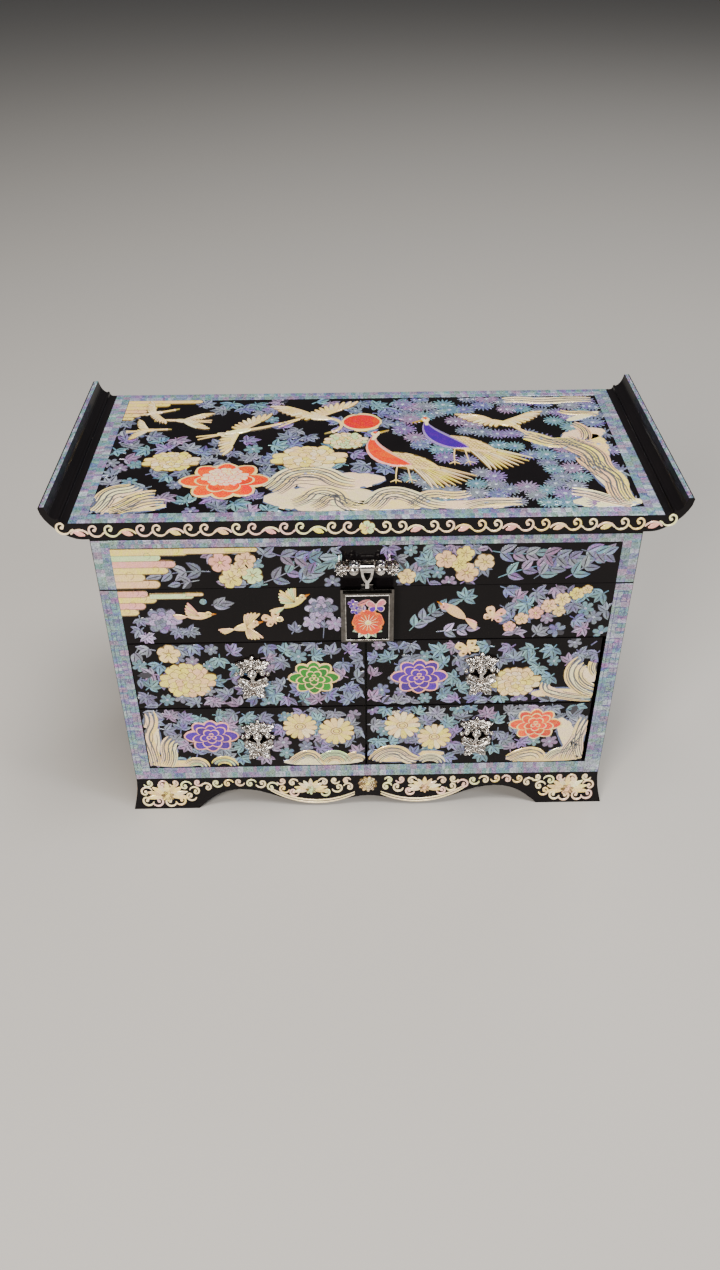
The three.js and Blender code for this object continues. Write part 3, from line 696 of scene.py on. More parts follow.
def rimmed(board, x, y, angle, length, half, shape, dye, rim, lift, bend=0.0, width=0.5):
    """A petal of dyed shell let into a larger pale one, which shows as an even rim."""
    board.stroke("pearl", x, y, angle, length, half, shape, bend, dye=rim, lift=lift, rings=10)
    start = towards(x, y, angle, width)
    tone = tuple(np.clip(np.array(dye) * board.rng.uniform(0.7, 1.3), 0, 1))
    inner = max(half - width, 0.35 * half)
    board.stroke(
        "dyed", *start, angle, length - 2.6 * width, inner, shape, bend, dye=tone, lift=lift + 0.05,
        rings=10,
    )


# A bloom's rows of petals, from the outside to the heart: reach as a share of the bloom's
# size, number of petals, and half-width as a share of the bloom's.
BLOOM_ROWS = ((1.0, 8, 0.30), (0.73, 7, 0.25), (0.46, 5, 0.20), (0.22, 3, 0.11))
LOTUS_ROWS = ((1.0, 8, 0.30), (0.66, 6, 0.26))


def bloom_petals(wide, tall, rows=BLOOM_ROWS):
    """Yields angle, petal length, half-width and lift for a bloom: each row goes all round,
    a half step on from the row outside it; the reach in a direction is that of an ellipse."""
    for row, (share, count, half_share) in enumerate(rows):
        for i in range(count):
            angle = 2 * math.pi * (i + 0.5 * (row % 2)) / count - math.pi / 2
            reach = 1 / math.hypot(math.cos(angle) / wide, math.sin(angle) / tall)
            yield angle, share * reach, half_share * wide, 0.05 * row


def peony(board, x, y, wide, tall, dye, rim=IVORY, width=0.55, rows=BLOOM_ROWS):
    """A coloured peony with pointed petals, each with a pale rim."""
    board.begin()
    for angle, length, half, lift in bloom_petals(wide, tall, rows):
        rimmed(board, x, y, angle, length, half, (0.85, 0.55), dye, rim, lift, width=width)


def cream_peony(board, x, y, wide, tall, tints=(CREAM, IVORY, YELLOW), line_tone=None, level=FIGURE):
    """A full pale peony: scalloped petals in near tones with a fine dark line round each."""
    board.begin(level)
    tone = UMBER if line_tone is None else line_tone
    for angle, length, half, lift in bloom_petals(wide, tall):
        for part in (-0.16, 0.16):
            share = 0.96 if part < 0 else 1.0
            edge = (0.7, 0.34)
            heading = angle + part
            board.stroke(
                "dyed", x, y, heading, share * length + 0.26, 0.66 * half + 0.24, edge, dye=tone, lift=lift,
            )
            dye = varied(board, tints, 0.07)
            board.stroke("pearl", x, y, heading, share * length, 0.66 * half, edge, dye=dye, lift=lift)


def shell_peony(board, x, y, wide, tall, tints=(LILAC, STEEL)):
    """A peony all in abalone, its petals apart by a hair of lacquer."""
    board.begin()
    for angle, length, half, lift in bloom_petals(wide, tall):
        dye = varied(board, tints, 0.25)
        ground(board, x, y, angle, length, 0.95 * half, (0.7, 0.4), 0.0, lift)
        board.stroke("abalone", x, y, angle, length, 0.95 * half, (0.7, 0.4), dye=dye, lift=lift)


def needle_tuft(board, x, y, radius, tints=LEAF_TINTS, needles=15):
    """A pine tuft from above: needles all round a small eye."""
    own = (tints[board.rng.integers(len(tints))],)
    turn = board.rng.uniform(0, 1)
    petals(
        board, x, y, needles, turn, 0.9 * radius, 0.105 * radius, (0.3, 0.5), own, "abalone", 0.1 * radius,
        rings=6,
    )
    disc(board, x, y, 0.16 * radius, SILVER, "abalone", 0.08)


def butterfly(board, x, y, size, angle=0.0, tints=(CREAM, PEACH)):
    """Two fore wings, two hind wings with a spot each, a slim body and feelers."""
    board.begin()
    for side in (-1, 1):
        for turn, length, half in ((0.75, 1.0, 0.34), (-0.45, 0.78, 0.27)):
            heading = angle + (turn if side > 0 else math.pi - turn)
            dye = varied(board, tints, 0.1)
            board.stroke(
                "pearl", x, y, heading, size * length, size * half, (0.8, 0.35), side * 0.25, dye=dye,
            )
            spot = towards(x, y, heading, 0.62 * size * length)
            disc(board, *spot, 0.11 * size, UMBER, "dyed", 0.06)
        feeler = angle + math.pi / 2 - side * 0.5
        board.stroke(
            "pearl", x, y, feeler, 0.8 * size, 0.03 * size + 0.05, (0.1, 0.3), -side * 0.9, dye=IVORY,
        )
    low = towards(x, y, angle - math.pi / 2, 0.45 * size)
    board.stroke(
        "pearl", *low, angle + math.pi / 2, 0.8 * size, 0.09 * size, (0.5, 0.6), dye=PEACH, lift=0.1,
    )


def feathers(board, x, y, first, last, count, length, half, tints, bend=0.0, lift=0.04, vein=True):
    """A fan of feathers from one point, each with an engraved vein."""
    for i, angle in enumerate(np.linspace(first, last, count)):
        size = length * (1.0 - 0.35 * i / count)
        dye = varied(board, tints, 0.1)
        board.stroke(
            "pearl", x, y, float(angle), size, half, (0.5, 0.4), bend, dye=dye, lift=lift + 0.008 * i,
        )
        if vein:
            board.stroke(
                "dyed", x, y, float(angle), 0.86 * size, 0.10, (0.1, 0.3), bend, dye=UMBER,
                lift=lift + 0.008 * i + 0.03, rings=5,
            )


def small_bird(board, x, y, size, angle, wings, tints=(PEACH, CREAM, ROSE)):
    """A little bird along angle: drop body, round head, beak and tail; wings are headings."""
    board.begin()
    tail = towards(x, y, angle + math.pi, 0.42 * size)
    feathers(
        board, *tail, angle + math.pi - 0.22, angle + math.pi + 0.22, 4, 0.62 * size, 0.06 * size, tints,
        vein=False,
    )
    board.stroke(
        "pearl", *tail, angle, 0.95 * size, 0.19 * size, (0.6, 0.5), dye=varied(board, tints), lift=0.06,
    )
    head = towards(x, y, angle + 0.12, 0.50 * size)
    disc(board, *head, 0.15 * size, varied(board, tints), lift=0.1)
    board.stroke(
        "dyed", *towards(*head, angle, 0.10 * size), angle, 0.24 * size, 0.05 * size, (0.2, 0.9),
        dye=(0.5, 0.2, 0.05), lift=0.1,
    )
    disc(board, *towards(*head, angle + 1.2, 0.03 * size), 0.035 * size, INK, "dyed", 0.18, 5)
    for heading in wings:
        side = 1 if math.sin(heading - angle) > 0 else -1
        feathers(
            board, *towards(x, y, angle, 0.12 * size), heading, heading + side * 0.75, 5, 0.85 * size,
            0.075 * size, tints, -side * 0.3, 0.09,
        )


def crane(board, x, y, size, facing, wings, neck, legs, tints=(CREAM, IVORY)):
    """A flying crane. facing is the body's heading; wings are pairs of heading and bend;
    neck is its heading, turn and length as a share of size; legs is their heading."""
    board.begin(FIGURE + 0.1)
    leg_x, leg_y = towards(x, y, facing + math.pi, 0.25 * size)
    for i in (-1, 1):
        board.stroke(
            "pearl", leg_x, leg_y, legs + 0.05 * i, 0.95 * size, 0.022 * size, (0.05, 0.2), 0.1 * i,
            dye=tints[0],
        )
    tail_x, tail_y = towards(x, y, facing + math.pi, 0.30 * size)
    feathers(
        board, tail_x, tail_y, facing + math.pi - 0.3, facing + math.pi + 0.3, 4, 0.3 * size, 0.05 * size,
        tints,
    )
    for heading, bend in wings:
        side = 1 if math.sin(facing - heading) > 0 else -1
        for i, share in enumerate(np.linspace(0.95, 0.12, 9)):
            root_x, root_y, along = walk(x, y, heading, 0.95 * size, bend, share=float(share))
            sweep = along - side * (0.32 + 0.15 * i)
            length = size * (0.56 - 0.030 * i)
            over = 0.02 + 0.008 * i
            ground(
                board, root_x, root_y, sweep, length, 0.075 * size, (0.3, 0.4), -side * 0.25, over, UMBER,
                0.2,
            )
            dye = varied(board, tints, 0.1)
            board.stroke(
                "pearl", root_x, root_y, sweep, length, 0.075 * size, (0.3, 0.4), -side * 0.25, dye=dye,
                lift=over,
            )
        board.stroke(
            "pearl", x, y, heading, 1.05 * size, 0.085 * size, (0.25, 0.7), bend, dye=varied(board, tints),
            lift=0.12,
        )
    start = towards(x, y, facing + math.pi, 0.38 * size)
    board.stroke(
        "pearl", *start, facing, 0.8 * size, 0.125 * size, (0.6, 0.6), dye=varied(board, tints), lift=0.15,
    )
    angle, turn, share = neck
    neck_x, neck_y = towards(x, y, facing, 0.30 * size)
    board.stroke(
        "pearl", neck_x, neck_y, angle, share * size, 0.045 * size, (0.02, 0.12), turn, dye=tints[0],
        lift=0.16, rings=12,
    )
    end_x, end_y, end = walk(neck_x, neck_y, angle, share * size, turn)
    disc(board, end_x, end_y, 0.055 * size, IVORY, lift=0.19)
    disc(board, *towards(end_x, end_y, end + 1.57, 0.02 * size), 0.028 * size, CORAL, "dyed", 0.22, 5)
    board.stroke(
        "pearl", end_x, end_y, end, 0.26 * size, 0.024 * size, (0.1, 0.8), dye=(0.55, 0.45, 0.2), lift=0.17,
    )


def ribbon(board, x, y, heading, arcs, half, dye, kind="pearl", offset=0.0, lift=0.0):
    """A ribbon along a chain of arcs, each a length and a turn. offset moves it to the left
    of that chain: an arc's length then shrinks by the offset times its turn. The ribbon
    tapers at its two ends."""
    x, y = towards(x, y, heading + math.pi / 2, offset)
    for i, (length, turn) in enumerate(arcs):
        own = max(length - offset * turn, 0.3)
        shape = (0.35 if i == 0 else 0.0, 0.45 if i == len(arcs) - 1 else 0.0)
        board.stroke(kind, x, y, heading, own, half, shape, turn, dye=dye, lift=lift, rings=14)
        x, y, heading = walk(x, y, heading, own, turn)


def mass(board, x, y, heading, length, half):
    """A broad plain patch of pale shell on a dark ground."""
    board.begin()
    shape = (0.45, 0.5)
    ground(board, x, y, heading, length, half, shape, 0.0, -0.05, SLATE, 0.3)
    dye = varied(board, CLOUD_TINTS, 0.05)
    board.stroke("pearl", x, y, heading, length, half, shape, dye=dye, rings=14, lift=-0.03)


VEIN_TONE = (0.11, 0.11, 0.115)


def veined(board, x, y, heading, arcs, bands, pitch, tints=CLOUD_TINTS):
    """Rock or water: pale ribbons side by side along the same arcs, with dark lines flowing
    over their joints, each line a different stretch of the way."""
    board.begin()
    ribbon(board, x, y, heading, arcs, 0.5 * bands * pitch + 0.3, SLATE, "dyed", lift=-0.06)
    for i in range(bands):
        offset = (i - (bands - 1) / 2) * pitch
        ribbon(board, x, y, heading, arcs, 0.53 * pitch, varied(board, tints, 0.05), offset=offset)
    for i in range(2 * bands - 1):
        offset = (0.5 * i - (bands - 1) / 2) * pitch
        stretch = board.rng.uniform(0.45, 1.0) if i % 2 == 0 else 1.0
        shorter = [(length * stretch, turn * stretch) for length, turn in arcs]
        line = 0.21 * pitch if i % 2 else 0.12 * pitch
        ribbon(board, x, y, heading, shorter, line, VEIN_TONE, "dyed", offset, 0.05)


def cloud(board, bars):
    """Layered cloud bars: each is its left end, height, length, half height and tint, with a
    round end at the right, a dark line round it and a curl cut near it."""
    board.begin()
    for i, (x, y, length, half, tint) in enumerate(bars):
        lift = 0.012 * i
        for part, grown, tone in (("dyed", 0.34, UMBER), ("pearl", 0.0, tint)):
            over = lift if part == "dyed" else lift + 0.006
            board.stroke(part, x, y, 0.0, length - half, half + grown, (0, 0), dye=tone, lift=over, rings=3)
            disc(board, x + length - half, y, half + grown, tone, part, over + 0.001)
        dark = tuple(0.35 * c for c in tint)
        board.stroke(
            "dyed", x + length - 2.6 * half, y - 0.4 * half, 0.3, 3.6 * half, 0.15, (0.1, 0.3), 3.6, 1.4,
            dye=dark, lift=lift + 0.08, rings=14,
        )


def band_of_shell(board, x0, x1, y0, y1, tile=2.2):
    """A border laid from slips of shell butted together along it, in two staggered rows."""
    wide = x1 - x0
    tall = y1 - y0
    longer = max(wide, tall)
    for row in (0, 1):
        at = 0.0
        while at < longer - 0.05:
            slip = min(tile * board.rng.uniform(0.6, 1.9), longer - at)
            place = (slip - 0.02, 0.25 * min(wide, tall), (0, 0))
            side = (0.25 + 0.5 * row) * min(wide, tall)
            if wide >= tall:
                where = (x0 + at, y0 + side, 0.0)
            else:
                where = (x0 + side, y0 + at, math.pi / 2)
            board.stroke(
                "border", *where, *place, dye=varied(board, BORDER_TINTS, 0.2), rings=2, lift=-0.06,
            )
            at += slip


def upright_borders(board, inner, outer, rise, tile=2.2):
    """Upright bands of shell at the left and the right of a board, from inner to outer."""
    for side in (-1, 1):
        x0, x1 = sorted((side * inner, side * outer))
        band_of_shell(board, x0, x1, *rise, tile)


def straight(board, x0, y0, x1, y1, half, dye, kind, lift=0.0):
    """A bar from one point to another, its square ends reaching past them by its half-width."""
    angle = math.atan2(y1 - y0, x1 - x0)
    length = math.hypot(x1 - x0, y1 - y0)
    board.stroke(
        kind, *towards(x0, y0, angle, -half), angle, length + 2 * half, half, (0, 0), dye=dye, rings=2,
        lift=lift,
    )


# One hook of the Greek key, as shares of the band's width and of the pitch.
FRET = ((0.0, 0.0), (0.0, 0.86), (0.8, 0.86), (0.8, 0.22), (0.34, 0.22), (0.34, 0.58), (0.56, 0.58))
FRET_PITCH = 9.8
FRET_TONE = (0.10, 0.09, 0.19)


def fret(board, x, y0, y1, width):
    """A Greek key cut up a border, one hook for each FRET_PITCH or a little more."""
    count = int((y1 - y0) / FRET_PITCH)
    step = (y1 - y0) / count
    for i in range(count):
        low = y0 + i * step
        corners = [(x + width * (0.1 + u), low + step * (0.07 + v)) for u, v in FRET]
        for (ax, ay), (bx, by) in zip(corners, corners[1:]):
            straight(board, ax, ay, bx, by, 0.15, FRET_TONE, "dyed", 0.02)


def scatter(board, tries, box, taken, draw, apart):
    """Calls draw at random places in the box that keep `apart` from each other and clear of
    the taken circles (x, y, radius)."""
    spots = np.zeros((0, 2))
    circles = np.array(taken, float).reshape(-1, 3)
    for _ in range(tries):
        x = board.rng.uniform(box[0], box[1])
        y = board.rng.uniform(box[2], box[3])
        if np.any(np.hypot(circles[:, 0] - x, circles[:, 1] - y) < circles[:, 2]):
            continue
        if np.any(np.hypot(spots[:, 0] - x, spots[:, 1] - y) < apart):
            continue
        spots = np.vstack([spots, [x, y]])
        draw(board, x, y)


def foliage(board, box, taken, apart=7.0, size=1.0, flowers=0.2):
    """Fills a box with peony leaves and here and there a small flower."""
    board.level = 0.0

    def draw(board, x, y):
        if board.rng.uniform() < flowers:
            small_flower(board, x, y, board.rng.uniform(3.2, 4.4) * size)
        else:
            leaf_cluster(board, x, y, size)

    scatter(board, 1600, box, taken, draw, apart)


def scroll(board, x, y, size, side, up, half, dye, bowl=2.5):
    """One C of a running scroll: a bowl from its upper end down and round, and a hook at that
    end that curls inwards to a bud. side is 1 if its back is to the left, up 1 if it opens
    upwards."""

    def seen(angle):
        return math.atan2(up * math.sin(angle), side * math.cos(angle))

    hand = side * up
    top = (x - side * size, y + up * 0.3 * size)
    board.stroke(
        "pearl", *top, seen(-1.65), 1.24 * bowl * size, half, (0.06, 0.22), hand * bowl, dye=dye, rings=14,
    )
    hook = (seen(1.5), 2.5 * size)
    board.stroke(
        "pearl", *top, *hook, 0.9 * half, (0.05, 0.15), -hand * 2.1, -hand * 2.3, dye=dye, rings=14,
    )
    tip_x, tip_y, _ = walk(*top, *hook, -hand * 2.1, -hand * 2.3)
    disc(board, tip_x, tip_y, 1.5 * half, dye, lift=0.04)


def crest(board, x, y, size, side, half, dye, bud):
    """The arch of a running scroll with a bud hanging under it."""

    def seen(angle):
        return angle if side > 0 else math.pi - angle

    foot = (x - side * 1.45 * size, y - 0.55 * size)
    board.stroke("pearl", *foot, seen(1.05), 3.6 * size, half, (0.1, 0.12), -side * 2.1, dye=dye, rings=14)
    leaf_at = (x + side * 0.75 * size, y - 0.75 * size)
    board.stroke("pearl", *leaf_at, seen(2.75), 1.9 * size, 0.5 * size, (0.5, 0.8), dye=bud, lift=0.03)
    disc(board, *leaf_at, 1.1 * half, bud, lift=0.05)


SCROLL_TINTS = (CREAM, IVORY, IVORY, (0.95, 0.72, 0.52), (0.95, 0.66, 0.56), (0.88, 0.86, 0.50))


def running_scroll(board, x0, x1, height, size, half):
    """Two Cs and a crest over and over, from x0 towards x1."""
    side = 1 if x1 < x0 else -1
    pitch = 2.75 * size
    for i in range(int(abs(x1 - x0) / pitch)):
        x = x0 - side * (i + 0.5) * pitch
        y = height(x)
        dye = varied(board, SCROLL_TINTS, 0.05)
        if i % 3 == 2:
            crest(board, x, y, size, side, half, dye, varied(board, (YELLOW, PEACH, ROSE)))
        else:
            scroll(board, x, y, size, side, 1, half, dye)
            link = (x + side * 1.17 * size, y - 0.62 * size)
            angle = 0.85 if side > 0 else math.pi - 0.85
            board.stroke("pearl", *link, angle, 0.9 * size, 0.8 * half, (0.1, 0.1), -side * 0.5, dye=dye)


# ------------------------------------------------------------------ the boards

FRONT = ((1, 0, 0), (0, 0, 1))
BACK = ((-1, 0, 0), (0, 0, 1))
RIGHT = ((0, 1, 0), (0, 0, 1))
LEFT = ((0, -1, 0), (0, 0, 1))
TOP = ((1, 0, 0), (0, 1, 0))

MATERIAL_OF = {"abalone": ABALONE, "pearl": PEARL, "dyed": DYED, "border": BORDER}
SLOT_OF = {kind: "shell" for kind in MATERIAL_OF}


# Edges of the boards, in millimetres: where the borders of the body and the lid start and
# end upwards, the bands along the base and along the lid's upper edge, the height of the
# lid's field, the sides' field and the ends of the top plate.
BODY_RISE = (21.8, 156.2)
FOOT_BAND = (21.8, 30.3)
LID_RISE = (157.1, 186)
LID_TOP_BAND = (181.4, 186)
LID_FIELD_RISE = (157.1, 181.3)
SIDE_FIELD = (-53.9, 53.9)
TOP_EDGE = 69.8


def front_board(name, node, body, seed, limits=None):
    """A board on the front of a node. Its edges are the node's own unless limits are given."""
    low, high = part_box(node)
    if limits is None:
        limits = (low.x / MM + 0.3, high.x / MM - 0.3, low.z / MM + 0.3, high.z / MM - 0.3)
    return Board(name, (0, low.y, 0), *FRONT, body, seed, limits=limits)


def lay_lid_front():
    """The lid's front: clouds at the left, two groups of blossom among leaves."""
    border = front_board("lid_front_border", "lid_front", "lid", 41)
    upright_borders(border, 126.0, 134.7, LID_RISE)
    band_of_shell(border, -125.9, 125.9, *LID_TOP_BAND)
    border.lay(MATERIAL_OF, SLOT_OF)
    board = front_board("lid_front_inlay", "lid_front", "lid", 11, (-126.0, 126.0, *LID_FIELD_RISE))
    sprig(board, -78, 167, math.pi - 0.1, 25, 3, 8.5, 2.1, (STEEL, GREY), bend=0.35)
    sprig(board, -84, 162, math.pi + 0.2, 10, 1, 6.5, 1.8, (STEEL, GREY))
    for x, y, angle, length, bend in (
        (-52, 160, 0.35, 27, 0.4), (-47, 177, -0.25, 24, 0.3), (-34, 160, 0.9, 10, -0.4),
        (66, 161, 0.45, 26, -0.3), (62, 177, -0.25, 22, 0.35), (84, 160, 0.75, 20, -0.4),
        (
            84, 176, -0.35, 22, 0.3,
        ), (100, 160, 0.6, 22, 0.2), (106, 177, -0.3, 16, 0.2), (26, 177, 0.0, 10, -0.3),
        (20, 162, 0.5, 12, 0.5),
    ):
        sprig(board, x, y, angle, length, 3, 8.6, 2.3, bend=bend)
    taken = [
        (-114, 170, 19), (-92, 168, 18), (-66, 168, 9), (48, 170, 10), (0, 165, 17), (-34, 168, 18),
        (92, 168, 34),
    ]
    foliage(board, (-88, 124, 158, 180.5), taken, 7.4, 0.95, 0.15)
    cloud(board, (
        (-126, 160.0, 22, 2.6, PEACH), (-126, 164.2, 15, 2.8, CREAM), (-126, 168.2, 27, 2.2, YELLOW),
        (-126, 172.0, 31, 2.2, ROSE), (-126, 176.0, 24, 2.4, MINT), (-126, 179.2, 38, 2.2, YELLOW),
        (-90, 179.6, 31, 1.8, CREAM), (-70, 180.0, 16, 1.3, YELLOW),
    ))
    for x, y, r, tint in (
        (-72.7, 172.6, 5.6, ROSE), (-60.2, 173.6, 5.0, PEACH), (-68.2, 162.8, 5.6, YELLOW),
        (-57.2, 164.6, 5.0, MINT), (-63.6, 168.4, 4.4, CREAM), (39, 172.5, 5.0, PEACH),
        (48.7, 175.6, 4.4, YELLOW), (50.0, 164.4, 5.6, PEACH), (58.6, 170.6, 4.8, CREAM),
        (46.0, 169.6, 4.0, YELLOW), (20, 162.6, 4.4, CREAM),
    ):
        plum(board, x, y, r, (tint,))
    board.lay(MATERIAL_OF, SLOT_OF)


def lay_carcass_front():
    """The body's front: the border round the drawers, and birds and blossom on the band."""
    border = front_board("body_front_border", "band_front", "carcass", 42, (-134.8, 134.8, 21.7, 156.3))
    for side in (-1, 1):
        x0, x1 = sorted((side * 126.1, side * 134.8))
        band_of_shell(border, x0, x1, *BODY_RISE)
        fret(border, x0 + 1.0, 30, 152, 6.6)
    band_of_shell(border, -126.0, 126.0, *FOOT_BAND)
    border.lay(MATERIAL_OF, SLOT_OF)
    board = front_board("body_front_inlay", "band_front", "carcass", 12, (-126.0, 126.0, 122.5, 156.2))
    cloud(board, (
        (-126, 142.6, 9, 2.2, YELLOW), (-126, 146.6, 13, 2.4, ROSE), (-126, 150.6, 19, 2.4, YELLOW),
        (-126, 154.0, 15, 2.2, ROSE), (-110, 152.4, 22, 1.7, MINT), (-92, 153.4, 9, 1.0, CREAM),
    ))
    shell_peony(board, -105.5, 137.0, 10.0, 8.0, (LILAC, VIOLET, STEEL))
    for x, y in ((-117, 138), (-118, 131), (-98, 130), (-92, 130), (-115, 126.5)):
        leaf_cluster(board, x, y, 0.8, (LILAC, STEEL))
    small_bird(board, -87.5, 139.6, 12, 0.05, (2.3,))
    sprig(board, -79.5, 146.5, 0.1, 5, 2, 6.8, 1.9, (STEEL, GREY))
    disc(board, -83.5, 148.6, 1.8, TEAL, "abalone")
    small_bird(board, -38, 146.8, 12.5, 0.5, (1.7, 2.5), (YELLOW, MINT, CREAM))
    small_bird(board, -64, 132.0, 13, 0.25, (1.0, -0.9), (CREAM, PEACH))
    butterfly(board, -48.3, 136.4, 6.4, 0.5)
    shell_peony(board, -23.5, 143.5, 8.5, 7.5, (LILAC, STEEL))
    small_flower(board, -28.5, 134.5, 4.6, (LILAC,))
    small_flower(board, -16.5, 133.5, 4.4, (LILAC,))
    sprig(board, -23, 124, 1.5, 15, 1, 6.5, 1.9, (TEAL, STEEL))
    leaf_cluster(board, -38, 129.5, 0.8, (STEEL,))
    small_bird(board, 46, 139.5, 15, 2.45, (), (PEACH, CREAM, ROSE))
    sprig(board, 22, 128, 0.95, 26, 4, 7.5, 2.2, (TEAL, STEEL), bend=-0.5)
    sprig(board, 36, 127, 0.1, 16, 2, 7.0, 2.1, (STEEL, LILAC))
    leaf_cluster(board, 50, 149, 1.0, (TEAL,))
    butterfly(board, 65.5, 136.8, 6.8, -0.3, (ROSE, PEACH))
    taken = [(87, 138, 5), (100, 146, 5), (65, 136, 8), (46, 140, 12), (30, 135, 12)]
    foliage(board, (70, 125, 124.5, 154.5), taken, 7.0, 1.0, 0.1)
    for x, y, r, tint in (
        (74, 130, 3.2, ROSE), (80, 135, 3.6, PEACH), (87, 138.5, 3.8, ROSE), (93.5, 143, 4.0, PEACH),
        (100, 147, 4.0, CREAM), (107, 150.5, 3.6, YELLOW), (99, 139.5, 3.2, CREAM), (112, 153, 2.6, CREAM),
    ):
        plum(board, x, y, r, (tint,))
    board.lay(MATERIAL_OF, SLOT_OF)


# The four drawers' pictures: seed, box of the foliage, circles it keeps clear of (x, y,
# radius), and the figures laid over it in turn, each a motif and what it is called with.
DRAWER_PICTURES = {
    "upper_left": (
        13, (-124, -3, 78, 120),
        [(-96.8, 97.0, 12.5), (-28.8, 97.5, 11.5), (-105, 115.2, 4), (-61.5, 98, 9), (-62, 114, 9)],
        (
            (cream_peony, -96.8, 96.5, 15.5, 12, (CREAM, PEACH, YELLOW, YELLOW)),
            (peony, -28.8, 97.0, 14, 11.5, GREEN, CREAM),
            (plum, -105, 114.8, 6.0, (CREAM,)),
        ),
    ),
    "upper_right": (
        14, (2, 124, 78, 120),
        [(28, 97.2, 12.5), (79.5, 92.5, 11), (54, 115.5, 6), (112, 90, 13), (61.2, 98, 9)],
        (
            (peony, 28, 96.8, 15.5, 12, PURPLE, ROSE),
            (cream_peony, 80.5, 92.0, 14, 10),
            (butterfly, 53.5, 115.0, 7.5, 0.4),
            (mass, 124, 82, 3.1, 34, 4.6),
            (mass, 124, 92, 2.5, 18, 4.6),
            (veined, 124.5, 84, 2.9, ((16, -0.9), (13, -1.3)), 4, 2.7),
            (veined, 123, 79.5, 3.1, ((24, -0.35), (7, -1.6)), 3, 2.2),
            (veined, 124, 97, 2.4, ((8, -1.2), (9, -2.2)), 3, 2.2),
        ),
    ),
    "lower_left": (
        15, (-122, -3, 36, 74),
        [
            (-88.5, 55.2, 12), (-37.8, 61.5, 8), (-17.5, 58, 8), (-118, 50, 9), (-27, 36, 9), (-12, 36, 8),
            (-61.5, 52, 9),
        ],
        (
            (peony, -88.0, 55.0, 15.5, 12, PURPLE, ROSE),
            (daisy, -37.8, 61.5, 9.5),
            (daisy, -17.5, 57.6, 10),
            (sprig, -50, 69.5, 0.1, 9, 3, 3.0, 0.7, (CREAM,)),
            (veined, -123.5, 32.5, 1.55, ((18, 0.25), (12, -0.8), (12, 0.9)), 4, 2.6),
            (veined, -116, 32.5, 1.0, ((12, 0.7), (10, -1.0)), 4, 2.4),
            (mass, -124, 34, 0.0, 30, 3.0),
            (mass, -123.5, 36, 1.45, 30, 5.0),
            (mass, -48, 34, 0.0, 45, 3.4),
            (veined, -104, 33, 0.9, ((8, -1.2), (6, -1.2)), 3, 2.0, (MINT, CREAM, IVORY)),
            (veined, -88, 33, 1.1, ((8, -1.3), (7, -1.2)), 3, 2.0, (MINT, YELLOW)),
            (veined, -44, 33, 0.9, ((10, -0.4), (9, -1.8), (10, 0.5)), 3, 2.0),
            (veined, -26, 33.5, 1.2, ((9, -1.2), (9, -1.4)), 4, 2.1, (MINT, CREAM)),
            (veined, -12, 33.5, 1.3, ((8, -1.2), (7, -1.3)), 3, 2.0),
        ),
    ),
    "lower_right": (
        16, (2, 122, 36, 74),
        [
            (94.5, 60.5, 12), (19.5, 61.5, 8.5), (37.8, 52.5, 8), (14, 38, 10), (61.2, 52, 9),
            (118, 50, 10), (96, 38, 8),
        ],
        (
            (peony, 94.5, 60.5, 15.0, 11.5, CORAL, CREAM),
            (daisy, 19.5, 61.2, 10),
            (daisy, 37.8, 52.0, 9.5),
            (sprig, 9, 70, 0.1, 9, 3, 3.0, 0.7, (CREAM,)),
            (mass, 4, 35, 0.1, 40, 4.4),
            (mass, 80, 34, 0.0, 44, 3.6),
            (mass, 122, 34, 2.0, 34, 6.0),
            (veined, 4, 33.5, 1.2, ((11, -0.9), (10, -1.2), (9, 0.7)), 4, 2.3),
            (veined, 30, 33, 0.9, ((8, -1.0), (8, -1.2)), 3, 2.1),
            (veined, 82, 33, 0.7, ((12, -0.5), (9, -1.5)), 4, 2.2),
            (veined, 123, 33, 2.0, ((18, -0.45), (14, -0.35)), 3, 2.5),
            (veined, 114, 32.8, 1.5, ((14, -0.5), (14, 0.4)), 4, 2.3),
            (veined, 104, 32.8, 1.2, ((10, -1.0), (8, 0.8)), 3, 2.1),
        ),
    ),
}


def lay_drawer(place, seed, box, taken, figures):
    """A drawer's front: foliage, with its figures over it."""
    board = front_board(f"{place}_inlay", f"drawer_front_{place}", f"drawer_{place}", seed)
    foliage(board, box, taken)
    for motif, *values in figures:
        motif(board, *values)
    board.lay(MATERIAL_OF, SLOT_OF)


